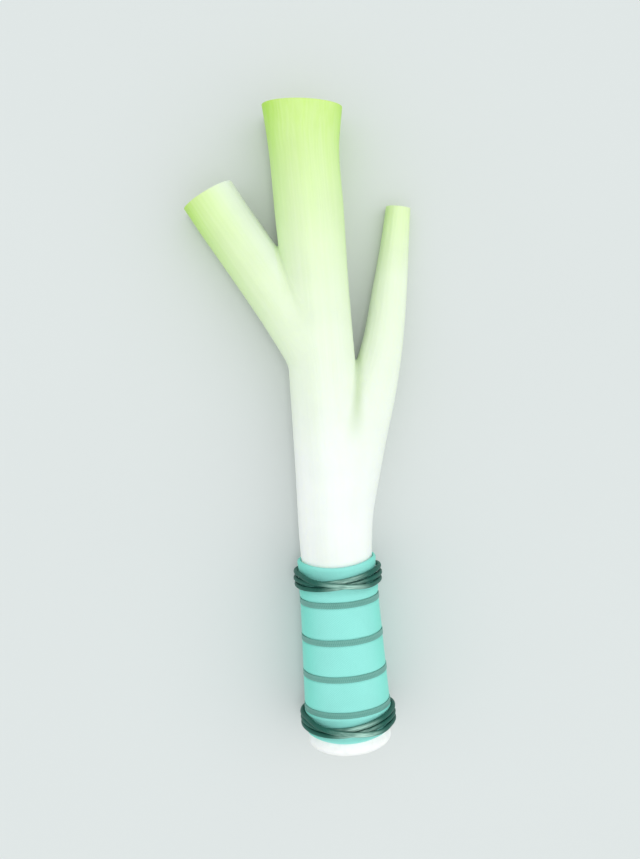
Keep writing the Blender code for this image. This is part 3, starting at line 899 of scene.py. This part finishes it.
def tie_mesh(name, place, crown, lean, tuck, per_turn=130, sides=28):
    """An elastic cord: a circle carried along its closed middle line, cut flat at the floor.

    The circle stands square to the line, and its first direction points away from the leek's axis.
    The painted highlight is 1 on the outer crest over the front, and fades to 0 round it.
    """
    line = tie_line(place, crown, lean, tuck, per_turn)
    heading = unit(np.roll(line, -1, axis=0) - np.roll(line, 1, axis=0))
    outward = line - (AXIS_X, 0.0, AXIS_Z)
    outward[:, 1] = 0.0
    outward = unit(outward - (outward * heading).sum(axis=1)[:, None] * heading)
    beside = np.cross(heading, outward)
    angle = np.linspace(0, 2 * np.pi, sides, endpoint=False)[None, :, None]
    circle = np.cos(angle) * outward[:, None] + np.sin(angle) * beside[:, None]
    points = line[:, None] + CORD_RADIUS * circle
    points[:, :, 2] = np.maximum(points[:, :, 2], 0.0)
    mesh = grid_mesh(name, points, rows_closed=True)
    steps = np.linalg.norm(np.roll(line, -1, axis=0) - line, axis=1)
    run = np.cumsum(steps) - steps[0]
    add_uv(mesh, points.shape[:2], angle[:, :, 0] * CORD_RADIUS, run[:, None], 2 * np.pi * CORD_RADIUS,
           steps.sum())
    from_front = 2 * np.pi * (np.arange(len(line)) % per_turn) / per_turn - np.pi
    # Painted highlight on the cord's outer crest over the front.
    crest = ease((np.cos(angle[:, :, 0]) + 0.1) / 1.1)
    add_attribute(mesh, "painted_highlight", (crest * hump(from_front - 0.16, 0.66)[:, None]).ravel())
    mesh.shade_smooth()
    return mesh


# Materials


def add_node(tree, kind, inputs, **settings):
    """Adds a node. An input is a plain value, or another node's output to link to it."""
    made = tree.nodes.new(kind)
    for name, value in settings.items():
        setattr(made, name, value)
    for socket, value in inputs.items():
        if isinstance(value, bpy.types.NodeSocket):
            tree.links.new(value, made.inputs[socket])
        else:
            made.inputs[socket].default_value = value
    return made


def calc(tree, operation, *values, clamp=False):
    """The output of a Math node."""
    return add_node(tree, "ShaderNodeMath", dict(enumerate(values)), operation=operation,
                    use_clamp=clamp).outputs[0]


def noise(tree, vector, scale, detail=2.0):
    """The output of a Noise node."""
    return add_node(tree, "ShaderNodeTexNoise",
                    {"Vector": vector, "Scale": scale, "Detail": detail}).outputs[0]


def scaled(tree, vector, factors):
    """A vector with its numbers multiplied, which draws a pattern out or squeezes it."""
    return add_node(tree, "ShaderNodeVectorMath", {0: vector, 1: factors}, operation="MULTIPLY").outputs[0]


def rgba(colour):
    """A colour with full alpha, or another node's output as it is."""
    return colour if isinstance(colour, bpy.types.NodeSocket) else (*colour, 1.0)


def mix(tree, factor, low, high, blend="MIX"):
    """The output of a colour Mix node."""
    return add_node(tree, "ShaderNodeMix", {0: factor, 6: rgba(low), 7: rgba(high)}, data_type="RGBA",
                    blend_type=blend).outputs[2]


def spread(tree, value, low, high, to_low=0.0, to_high=1.0):
    """Maps a value's range to another one, smoothly and clamped."""
    return add_node(tree, "ShaderNodeMapRange", {0: value, 1: low, 2: high, 3: to_low, 4: to_high},
                    interpolation_type="SMOOTHSTEP").outputs[0]


def shader_group(name, inputs, outputs):
    """An empty node group: its tree, its input node's outputs and its output node."""
    tree = bpy.data.node_groups.new(name, "ShaderNodeTree")
    for socket, kind, default in inputs:
        made = tree.interface.new_socket(socket, in_out="INPUT", socket_type=kind)
        if default is not None:
            made.default_value = default
    for socket in outputs:
        tree.interface.new_socket(socket, in_out="OUTPUT", socket_type="NodeSocketFloat")
    return tree, tree.nodes.new("NodeGroupInput").outputs, tree.nodes.new("NodeGroupOutput")


def use_group(tree, name, build, inputs):
    """Places a group in a tree with its own values. The first use builds it."""
    group = bpy.data.node_groups.get(name) or build(name)
    return add_node(tree, "ShaderNodeGroup", inputs, node_tree=group).outputs


def build_streaks(name):
    """Fibres: noise that is fine across the grain and long along it, with a broad version of it."""
    tree, given, result = shader_group(
        name,
        (("Grain", "NodeSocketVector", None), ("Fineness", "NodeSocketFloat", 900.0),
         ("Length", "NodeSocketFloat", 0.04)),
        ("Fine", "Broad"),
    )
    stretch = add_node(tree, "ShaderNodeCombineXYZ", {0: 1.0, 1: 1.0, 2: given["Length"]}).outputs[0]
    squeezed = scaled(tree, given["Grain"], stretch)
    broad_scale = calc(tree, "MULTIPLY", given["Fineness"], 0.22)
    for output, scale in (("Fine", given["Fineness"]), ("Broad", broad_scale)):
        tree.links.new(spread(tree, noise(tree, squeezed, scale), 0.3, 0.7), result.inputs[output])
    return tree


def build_threads(name):
    """Crossing threads: two sets of round ridges that pass over and under each other in turn.

    With x and y counted in threads, one set is |sin(pi x)| raised where cos(pi (y + floor x)) is
    high, and the other set is the same with x and y changed round and the sign turned.
    """
    tree, given, result = shader_group(
        name,
        (("Map", "NodeSocketVector", None), ("Across", "NodeSocketFloat", 0.0005),
         ("Along", "NodeSocketFloat", 0.0005), ("Slant", "NodeSocketFloat", 0.0)),
        ("Height",),
    )
    turned = add_node(tree, "ShaderNodeVectorRotate", {"Vector": given["Map"], "Angle": given["Slant"]},
                      rotation_type="Z_AXIS").outputs[0]
    split = add_node(tree, "ShaderNodeSeparateXYZ", {0: turned}).outputs
    x = calc(tree, "DIVIDE", split[0], given["Across"])
    y = calc(tree, "DIVIDE", split[1], given["Along"])
    ridges = []
    for one, other, sign in ((x, y, 0.42), (y, x, -0.42)):
        ridge = calc(tree, "ABSOLUTE", calc(tree, "SINE", calc(tree, "MULTIPLY", one, math.pi)))
        phase = calc(tree, "ADD", other, calc(tree, "FLOOR", one))
        over = calc(tree, "COSINE", calc(tree, "MULTIPLY", phase, math.pi))
        raised = calc(tree, "MULTIPLY_ADD", over, sign, 0.58)
        ridges.append(calc(tree, "MULTIPLY", calc(tree, "POWER", ridge, 0.6), raised))
    tree.links.new(calc(tree, "MAXIMUM", *ridges), result.inputs["Height"])
    return tree


def build_tone(name):
    """Slow uneven tone over the object: a factor near 1 between a low and a high value."""
    tree, given, result = shader_group(
        name,
        (("Place", "NodeSocketVector", None), ("Scale", "NodeSocketFloat", 30.0),
         ("Low", "NodeSocketFloat", 0.96), ("High", "NodeSocketFloat", 1.03)),
        ("Tone",),
    )
    cloud = noise(tree, given["Place"], given["Scale"], 3.0)
    tone = add_node(tree, "ShaderNodeMapRange",
                    {0: cloud, 1: 0.3, 2: 0.7, 3: given["Low"], 4: given["High"]})
    tree.links.new(tone.outputs[0], result.inputs["Tone"])
    return tree


def new_material(name, **sockets):
    """A Principled material with plain values on its sockets: (material, tree, shader)."""
    made = bpy.data.materials.new(name)
    made.use_nodes = True
    shader = made.node_tree.nodes["Principled BSDF"]
    for socket, value in sockets.items():
        shader.inputs[socket.replace("_", " ")].default_value = value
    return made, made.node_tree, shader


def attribute(tree, name, output="Fac"):
    """A named attribute's number, or its vector."""
    return add_node(tree, "ShaderNodeAttribute", {}, attribute_name=name).outputs[output]


def object_place(tree):
    """The place on the object."""
    return add_node(tree, "ShaderNodeTexCoord", {}).outputs["Object"]


def thread_map(tree):
    """The piece's own thread map."""
    return add_node(tree, "ShaderNodeUVMap", {}, uv_map=THREAD_MAP).outputs[0]


def toned(tree, colour, scale, low, high):
    """A colour with a slow uneven tone over it."""
    tone = use_group(tree, "uneven_tone", build_tone,
                     {"Place": object_place(tree), "Scale": scale, "Low": low, "High": high})["Tone"]
    return mix(tree, 1.0, colour, tone, "MULTIPLY")


def dress(tree, shader, height, depth, **outputs):
    """Links outputs to the shader's sockets, and a height of that depth to its Normal."""
    relief = add_node(tree, "ShaderNodeBump", {"Height": height, "Distance": depth, "Strength": 1.0})
    for socket, output in {**outputs, "Normal": relief.outputs[0]}.items():
        tree.links.new(output, shader.inputs[socket.replace("_", " ")])


def skin_material(settings):
    """Waxy leek skin: white to yellow green, with painted light and shade on its turned side, painted shade
    in the creases, and fine veins.
    """
    material, tree, shader = new_material(
        "leek_skin", Specular_IOR_Level=0.35, Coat_Roughness=0.4, Subsurface_Weight=0.12,
        Subsurface_Scale=0.004, Subsurface_Radius=(1.0, 1.0, 0.4))
    green, shade, crease_shade = (attribute(tree, name) for name in ("green", "shade", "crease_shade"))
    streaks = use_group(tree, "plant_streaks", build_streaks,
                        {"Grain": attribute(tree, "grain", "Vector"), "Fineness": 700.0, "Length": 0.03})
    drift = calc(tree, "MULTIPLY_ADD", calc(tree, "SUBTRACT", streaks["Broad"], 0.5), 0.05, green)
    leaf = mix(tree, drift, settings.shank_colour, settings.tip_colour)
    # Painted light and shade: where the skin turns from the light side, the shank goes paler and the leaves
    # greener.
    in_shade = mix(tree, green, settings.shank_shade_colour, settings.tip_shade_colour)
    leaf = mix(tree, shade, leaf, in_shade)
    # Painted shade along the creases.
    leaf = mix(tree, calc(tree, "MULTIPLY", crease_shade, 0.85), leaf, settings.crease_shade_colour)
    vein = calc(tree, "MULTIPLY", streaks["Fine"], spread(tree, green, 0.0, 0.6, 0.03, 0.09))
    leaf = mix(tree, vein, leaf, settings.vein_colour)
    dress(tree, shader, calc(tree, "MULTIPLY_ADD", streaks["Broad"], 1.6, streaks["Fine"]), 0.00005,
          Base_Color=toned(tree, leaf, 45.0, 0.975, 1.02),
          Roughness=spread(tree, streaks["Fine"], 0.0, 1.0, 0.46, 0.56),
          Coat_Weight=spread(tree, streaks["Broad"], 0.0, 1.0, 0.03, 0.10))
    return material


def cut_material(settings):
    """Moist cut leaf: pale flesh, greener near the skin and in rings, with dots of fibre ends."""
    material, tree, shader = new_material(
        "leek_cut_end", Coat_Weight=0.3, Coat_Roughness=0.15, Subsurface_Weight=0.15,
        Subsurface_Scale=0.004, Subsurface_Radius=(1.0, 1.0, 0.4))
    layer, green = attribute(tree, "layer"), attribute(tree, "green")
    flesh = mix(tree, green, settings.shank_colour, settings.flesh_colour)
    flesh = mix(tree, spread(tree, layer, 0.80, 1.0, 0.0, 0.75), flesh, settings.tip_colour)
    rings = spread(tree, noise(tree, layer, 34.0), 0.40, 0.68, 0.0, 0.30)
    flesh = mix(tree, rings, flesh, settings.tip_shade_colour)
    grain = attribute(tree, "grain", "Vector")
    dots = add_node(tree, "ShaderNodeTexVoronoi", {"Vector": grain, "Scale": 900.0},
                    voronoi_dimensions="2D").outputs["Distance"]
    spot = spread(tree, dots, 0.28, 0.10)
    flesh = mix(tree, calc(tree, "MULTIPLY", spot, 0.30), flesh, settings.vein_colour)
    dress(tree, shader, calc(tree, "MULTIPLY_ADD", spot, -0.6, dots), 0.00008,
          Base_Color=toned(tree, flesh, 160.0, 0.93, 1.04),
          Roughness=spread(tree, dots, 0.0, 0.5, 0.24, 0.36))
    return material


def root_material(settings):
    """Root end: white skin that turns dry and straw coloured on the plate."""
    material, tree, shader = new_material(
        "leek_root_end", Subsurface_Weight=0.10, Subsurface_Scale=0.003, Subsurface_Radius=(1.0, 1.0, 0.6))
    patch = noise(tree, object_place(tree), 420.0, 4.0)
    dry = calc(tree, "MULTIPLY_ADD", patch, 0.30, attribute(tree, "layer"))
    dry = spread(tree, dry, 0.93, 0.62, 0.0, 0.75)
    colour = mix(tree, dry, settings.root_end_colour, settings.plate_colour)
    dress(tree, shader, calc(tree, "MULTIPLY", patch, dry), 0.0003,
          Base_Color=toned(tree, colour, 300.0, 0.94, 1.02),
          Roughness=spread(tree, dry, 0.0, 0.75, 0.42, 0.75))
    return material


def stub_material(settings):
    """Trimmed roots: dry, fibrous and straw coloured."""
    material, tree, shader = new_material("leek_roots", Roughness=0.75)
    fibre = noise(tree, scaled(tree, object_place(tree), (1.0, 0.15, 1.0)), 2600.0, 3.0)
    colour = mix(tree, spread(tree, fibre, 0.35, 0.65), settings.root_colour, settings.plate_colour)
    dress(tree, shader, fibre, 0.0002, Base_Color=toned(tree, colour, 500.0, 0.85, 1.08))
    return material


def woven_material(name, colour, gap_colour, threads, **sockets):
    """Threads on the piece's own map, coloured from the gaps up to the tops, with a little fuzz.

    It gives the material, its tree and its shader, and the threads' colour and height.
    """
    material, tree, shader = new_material(name, **sockets)
    height = use_group(tree, "crossing_threads", build_threads,
                       {"Map": thread_map(tree), **threads})["Height"]
    woven = mix(tree, spread(tree, height, 0.15, 0.75), gap_colour, colour)
    fuzz = spread(tree, noise(tree, object_place(tree), 1500.0, 3.0), 0.35, 0.75, 0.0, 0.10)
    return material, tree, shader, mix(tree, fuzz, woven, gap_colour), height


def cloth_material(settings):
    """Turquoise cloth: fine plain weave, with painted shade on the sides, and two rows of stitching on the
    seam.
    """
    material, tree, shader, cloth, height = woven_material(
        "wrap_cloth", settings.cloth_colour, settings.cloth_gap_colour,
        {"Across": settings.thread_pitch, "Along": settings.thread_pitch},
        Roughness=0.72, Sheen_Weight=0.25, Sheen_Roughness=0.5, Specular_IOR_Level=0.3)
    run = add_node(tree, "ShaderNodeSeparateXYZ", {0: thread_map(tree)}).outputs[1]
    beat = calc(tree, "SINE", calc(tree, "MULTIPLY", run, 2 * math.pi / settings.stitch_length))
    stitch = calc(tree, "MULTIPLY", attribute(tree, "stitch"), spread(tree, beat, -0.55, -0.25))
    top = spread(tree, height, 0.15, 0.75)
    # Painted shade: a deeper turquoise where the cloth turns away from the light side.
    side = mix(tree, top, settings.cloth_gap_colour, settings.cloth_shade_colour)
    cloth = mix(tree, attribute(tree, "side"), cloth, side)
    cloth = mix(tree, calc(tree, "MULTIPLY", stitch, 0.8), cloth, settings.stitch_colour)
    dress(tree, shader, calc(tree, "MULTIPLY_ADD", stitch, 2.5, height), 0.00006,
          Base_Color=toned(tree, cloth, 60.0, 0.97, 1.02))
    return material


def ribbon_material(settings):
    """Muted teal ribbon: fine crosswise ribs, matt."""
    material, tree, shader, ribbon, height = woven_material(
        "band_ribbon", settings.ribbon_colour, settings.ribbon_gap_colour,
        {"Across": settings.rib_pitch, "Along": settings.rib_pitch * 4},
        Roughness=0.80, Sheen_Weight=0.15, Specular_IOR_Level=0.25)
    dress(tree, shader, height, 0.00006, Base_Color=toned(tree, ribbon, 90.0, 0.95, 1.04))
    return material


def cord_material(settings):
    """Dark green elastic cord: a slanting braid, with painted highlight streaks over the front."""
    material, tree, shader, cord, height = woven_material(
        "tie_cord", settings.cord_colour, settings.cord_gap_colour,
        {"Across": settings.braid_pitch, "Along": settings.braid_pitch, "Slant": math.radians(45)},
        Roughness=0.42, Specular_IOR_Level=0.15)
    # Painted highlight: paler streaks on the cord's crest over the front.
    highlight_streaks = noise(tree, scaled(tree, thread_map(tree), (1.0, 0.12, 1.0)), 1100.0)
    painted_highlight = calc(tree, "MULTIPLY", attribute(tree, "painted_highlight"), spread(tree, highlight_streaks, 0.35, 0.60, 0.35, 1.0))
    cord = mix(tree, painted_highlight, cord, settings.highlight_colour)
    dress(tree, shader, height, 0.000012, Base_Color=toned(tree, cord, 70.0, 0.90, 1.08))
    return material


def floor_material(settings):
    """Plain pale matt floor."""
    material, tree, shader = new_material("studio_floor", Roughness=0.9, Specular_IOR_Level=0.1)
    tree.links.new(toned(tree, settings.floor_colour, 3.0, 0.99, 1.01), shader.inputs["Base Color"])
    return material


# Settings


def colour_setting(name, description, default):
    """A colour that a user can change."""
    return bpy.props.FloatVectorProperty(name=name, description=description, default=default,
                                         subtype="COLOR", min=0.0, max=1.0)


def length_setting(name, description, default):
    """A length in metres that a user can change."""
    return bpy.props.FloatProperty(name=name, description=description, default=default,
                                   unit="LENGTH", precision=5, min=0.0)


def angle_setting(name, description, degrees):
    """An angle that a user can change."""
    return bpy.props.FloatProperty(name=name, description=description, default=math.radians(degrees),
                                   subtype="ANGLE")


def number_setting(name, description, default):
    """A plain number from 0 up that a user can change."""
    return bpy.props.FloatProperty(name=name, description=description, default=default, min=0.0)


class LeekSettings(bpy.types.PropertyGroup):
    """Finish of the vegetable."""

    voxel: length_setting("Skin detail", "Size of the faces of the leek's skin", 0.00108)
    fine_roots: bpy.props.IntProperty(
        name="Fine roots", description="Number of fine roots between the stout ones", default=64, min=0,
        max=200)
    shank_colour: colour_setting("Shank", "White of the shank", (0.87, 0.91, 0.86))
    tip_colour: colour_setting("Leaf end", "Yellow green of the cut leaf's end", (0.575, 0.83, 0.19))
    # Painted light on the shank's turned side, paler than the shank.
    shank_shade_colour: colour_setting("Shank shade", "Tint of the shank's turned side", (0.95, 0.98, 0.93))
    # Painted shade on a leaf's turned side.
    tip_shade_colour: colour_setting("Leaf shade", "Green of a leaf's turned side", (0.43, 0.78, 0.03))
    # Painted shade in the creases between two leaves.
    crease_shade_colour: colour_setting("Crease", "Green deep between two leaves", (0.55, 0.68, 0.42))
    root_end_colour: colour_setting("Root end", "White of the root end", (0.96, 0.97, 0.94))
    vein_colour: colour_setting("Veins", "Pale lengthwise veins", (0.93, 0.98, 0.78))
    flesh_colour: colour_setting("Flesh", "Cut leaf layers", (0.82, 0.91, 0.52))
    plate_colour: colour_setting("Root plate", "Dry plate under the roots", (0.66, 0.58, 0.42))
    root_colour: colour_setting("Roots", "Trimmed roots", (0.84, 0.78, 0.62))


class WrapSettings(bpy.types.PropertyGroup):
    """Cut and finish of the cloth wrap."""

    cloth_colour: colour_setting("Cloth", "Turquoise of the cloth", (0.345, 0.85, 0.765))
    # Painted shade on the cloth's sides.
    cloth_shade_colour: colour_setting("Cloth sides", "Turquoise of the cloth's sides", (0.16, 0.78, 0.63))
    cloth_gap_colour: colour_setting("Cloth gaps", "Cloth between its threads", (0.20, 0.66, 0.57))
    edge_arch: length_setting("Edge arch", "How far the edges rise towards the leaves at the sides", 0.0021)
    stitch_colour: colour_setting("Stitching", "Thread of the seam", (0.62, 0.92, 0.86))
    thread_pitch: length_setting("Thread pitch", "From one thread to the next", 0.00045)
    stitch_length: length_setting("Stitch length", "From one stitch to the next", 0.0024)
    seam_width: length_setting("Seam width", "Width of the lapped seam", 0.0070)
    seam_angle: angle_setting("Seam angle", "Where the seam runs, from straight down towards -X", 28)
    pucker_depth: length_setting("Pucker depth", "Depth of the puckers beside the ties", 0.00016)
    pucker_reach: length_setting("Pucker reach", "How far from a tie the puckers go", 0.0105)


class TrimSettings(bpy.types.PropertyGroup):
    """Finish of the ribbons and the elastic cords."""

    ribbon_colour: colour_setting("Ribbon", "Muted teal of the ribbons", (0.175, 0.41, 0.35))
    ribbon_gap_colour: colour_setting("Ribbon gaps", "Ribbon between its ribs", (0.09, 0.30, 0.25))
    rib_pitch: length_setting("Rib pitch", "From one crosswise rib to the next", 0.00050)
    cord_colour: colour_setting("Cord", "Dark green of the cords", (0.026, 0.150, 0.112))
    cord_gap_colour: colour_setting("Cord gaps", "Cord between its threads", (0.008, 0.060, 0.044))
    # Painted highlight on the cords' crests over the front.
    highlight_colour: colour_setting("Cord polish", "Paler green where the cords rub", (0.44, 0.70, 0.59))
    braid_pitch: length_setting("Braid pitch", "From one braided thread to the next", 0.00055)


class StageSettings(bpy.types.PropertyGroup):
    """Plain studio and the camera that looks down on the leek."""

    floor_colour: colour_setting("Floor", "Pale floor", (0.68, 0.71, 0.695))
    floor_size: length_setting("Floor size", "Side of the square floor", 30.0)
    eye: bpy.props.FloatVectorProperty(name="Camera place", description="Where the camera stands",
                                       default=(AXIS_X - 0.0037, ZERO_Y + 0.2114, 0.5596),
                                       subtype="TRANSLATION")
    tilt: angle_setting("Camera tilt", "How far the view leans from straight down to the root end", 4.3)
    roll: angle_setting("Camera roll", "How far the camera is rolled", -4.32)
    lens: number_setting("Lens", "Focal length in millimetres on a 36 mm sensor", 41.91)
    key: number_setting("Key light", "Strength of the light from above", 0.42)
    side: number_setting("Side light", "Strength of the wide light from the right", 0.45)
    sky: number_setting("Sky", "Strength of the pale light all round", 0.90)


# Operators


class LEEK_OT_vegetable(bpy.types.Operator):
    """Adds the leek: one blended skin with layered cut ends and a root end"""

    bl_idname = "leek_look.vegetable"
    bl_label = "Add leek"

    def execute(self, context):
        settings = context.scene.leek_settings
        materials = [skin_material(settings), cut_material(settings), root_material(settings)]
        new_object("leek_body", leek_mesh(settings.voxel), materials, "leek", "leek")
        return {"FINISHED"}


class LEEK_OT_roots(bpy.types.Operator):
    """Adds the trimmed roots on the leek's root plate"""

    bl_idname = "leek_look.roots"
    bl_label = "Add roots"

    def execute(self, context):
        settings = context.scene.leek_settings
        mesh = roots_mesh(settings.fine_roots)
        mesh.shade_smooth()
        new_object("trimmed_roots", mesh, [stub_material(settings)], "leek")
        return {"FINISHED"}


class LEEK_OT_wrap(bpy.types.Operator):
    """Adds the cloth wrap"""

    bl_idname = "leek_look.wrap"
    bl_label = "Add wrap"

    def execute(self, context):
        settings = context.scene.leek_wrap
        cloth = new_object("cloth_wrap", wrap_mesh(settings), [cloth_material(settings)], "wrap", "wrap")
        return {"FINISHED"}


class LEEK_OT_bands(bpy.types.Operator):
    """Adds the four ribbons round the wrap"""

    bl_idname = "leek_look.bands"
    bl_label = "Add bands"

    def execute(self, context):
        ribbon = ribbon_material(context.scene.leek_trim)
        for number, place in enumerate(BAND_PLACES, start=1):
            new_object(f"ribbon_{number}", band_mesh(f"ribbon_{number}", place), [ribbon], "band",
                       f"band_{number}")
        return {"FINISHED"}


class LEEK_OT_ties(bpy.types.Operator):
    """Adds the two elastic ties"""

    bl_idname = "leek_look.ties"
    bl_label = "Add ties"

    def execute(self, context):
        cord = cord_material(context.scene.leek_trim)
        for name, *shape in (("upper_tie", UPPER_TIE_PLACE, UPPER_TIE_CROWN, UPPER_TIE_LEAN, 0.0),
                             ("lower_tie", LOWER_TIE_PLACE, 0.0, LOWER_TIE_LEAN, LOWER_TIE_TUCK)):
            new_object(f"{name}_cord", tie_mesh(name, *shape), [cord], "tie", name)
        return {"FINISHED"}


class LEEK_OT_stage(bpy.types.Operator):
    """Adds the pale floor, the soft lights and the camera"""

    bl_idname = "leek_look.stage"
    bl_label = "Add stage"

    def execute(self, context):
        settings = context.scene.leek_stage
        half = settings.floor_size / 2
        mesh = bpy.data.meshes.new("studio_floor")
        mesh.from_pydata([(-half, -half, 0.0), (half, -half, 0.0), (half, half, 0.0), (-half, half, 0.0)],
                         [], [(0, 1, 2, 3)])
        mesh.materials.append(floor_material(settings))
        floor = bpy.data.objects.new("studio_floor", mesh)
        context.scene.collection.objects.link(floor)
        floor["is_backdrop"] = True
        add_light("key_light", settings.key, *KEY_LIGHT)
        add_light("side_light", settings.side, *SIDE_LIGHT)
        world = bpy.data.worlds.new("studio")
        world.use_nodes = True
        sky = world.node_tree.nodes["Background"]
        sky.inputs["Color"].default_value = rgba(SKY_COLOUR)
        sky.inputs["Strength"].default_value = settings.sky
        context.scene.world = world
        context.scene.view_settings.view_transform = "Standard"
        add_camera(context.scene, settings)
        return {"FINISHED"}


def add_light(name, strength, spread_angle, towards):
    """A soft light from far away in the given direction, even over the whole floor."""
    lamp = bpy.data.lights.new(name, "SUN")
    lamp.energy = strength
    lamp.angle = spread_angle
    light = bpy.data.objects.new(name, lamp)
    bpy.context.scene.collection.objects.link(light)
    light.location = towards
    light.rotation_euler = (-Vector(towards)).to_track_quat("-Z", "Y").to_euler()


def add_camera(scene, settings):
    """The camera: it looks down with a small tilt towards the root end and a small roll."""
    ahead = Vector((0.0, -math.sin(settings.tilt), -math.cos(settings.tilt)))
    level_up = Vector((0.0, math.cos(settings.tilt), -math.sin(settings.tilt)))
    right = math.cos(settings.roll) * Vector((1.0, 0.0, 0.0)) + math.sin(settings.roll) * level_up
    up = right.cross(ahead)
    lens = bpy.data.cameras.new("camera")
    lens.lens = settings.lens
    lens.sensor_width = 36.0
    lens.clip_start = 0.01
    camera = bpy.data.objects.new("camera", lens)
    scene.collection.objects.link(camera)
    turned = Matrix((right, up, -ahead)).transposed().to_4x4()
    camera.matrix_world = Matrix.Translation(settings.eye) @ turned
    scene.camera = camera


class LEEK_PT_panel(bpy.types.Panel):
    """Lists the leek's pieces in the sidebar"""

    bl_idname = "LEEK_PT_panel"
    bl_label = "Leek with a tied wrap"
    bl_space_type = "VIEW_3D"
    bl_region_type = "UI"
    bl_category = "Leek"

    def draw(self, context):
        for operator in PIECES:
            self.layout.operator(operator.bl_idname)
        for group in SETTINGS:
            box = self.layout.box()
            values = getattr(context.scene, group)
            for name in SETTINGS[group].__annotations__:
                box.prop(values, name)


SETTINGS = {
    "leek_settings": LeekSettings,
    "leek_wrap": WrapSettings,
    "leek_trim": TrimSettings,
    "leek_stage": StageSettings,
}
PIECES = (LEEK_OT_vegetable, LEEK_OT_roots, LEEK_OT_wrap, LEEK_OT_bands, LEEK_OT_ties, LEEK_OT_stage)


def register():
    """Registers the settings, the operators and the panel."""
    for made in (*SETTINGS.values(), *PIECES, LEEK_PT_panel):
        bpy.utils.register_class(made)
    for name, group in SETTINGS.items():
        setattr(bpy.types.Scene, name, bpy.props.PointerProperty(type=group))


def unregister():
    """Removes what register added."""
    for name in SETTINGS:
        delattr(bpy.types.Scene, name)
    for made in reversed((*SETTINGS.values(), *PIECES, LEEK_PT_panel)):
        bpy.utils.unregister_class(made)


def main():
    """Makes every piece and the stage."""
    register()
    bpy.ops.leek_look.vegetable()
    bpy.ops.leek_look.roots()
    bpy.ops.leek_look.wrap()
    bpy.ops.leek_look.bands()
    bpy.ops.leek_look.ties()
    bpy.ops.leek_look.stage()
    boxes = {"cad": CAD_BOX, "visual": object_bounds()}
    boxes = {name: [list(corner) for corner in box] for name, box in boxes.items()}


if __name__ == "__main__":
    main()
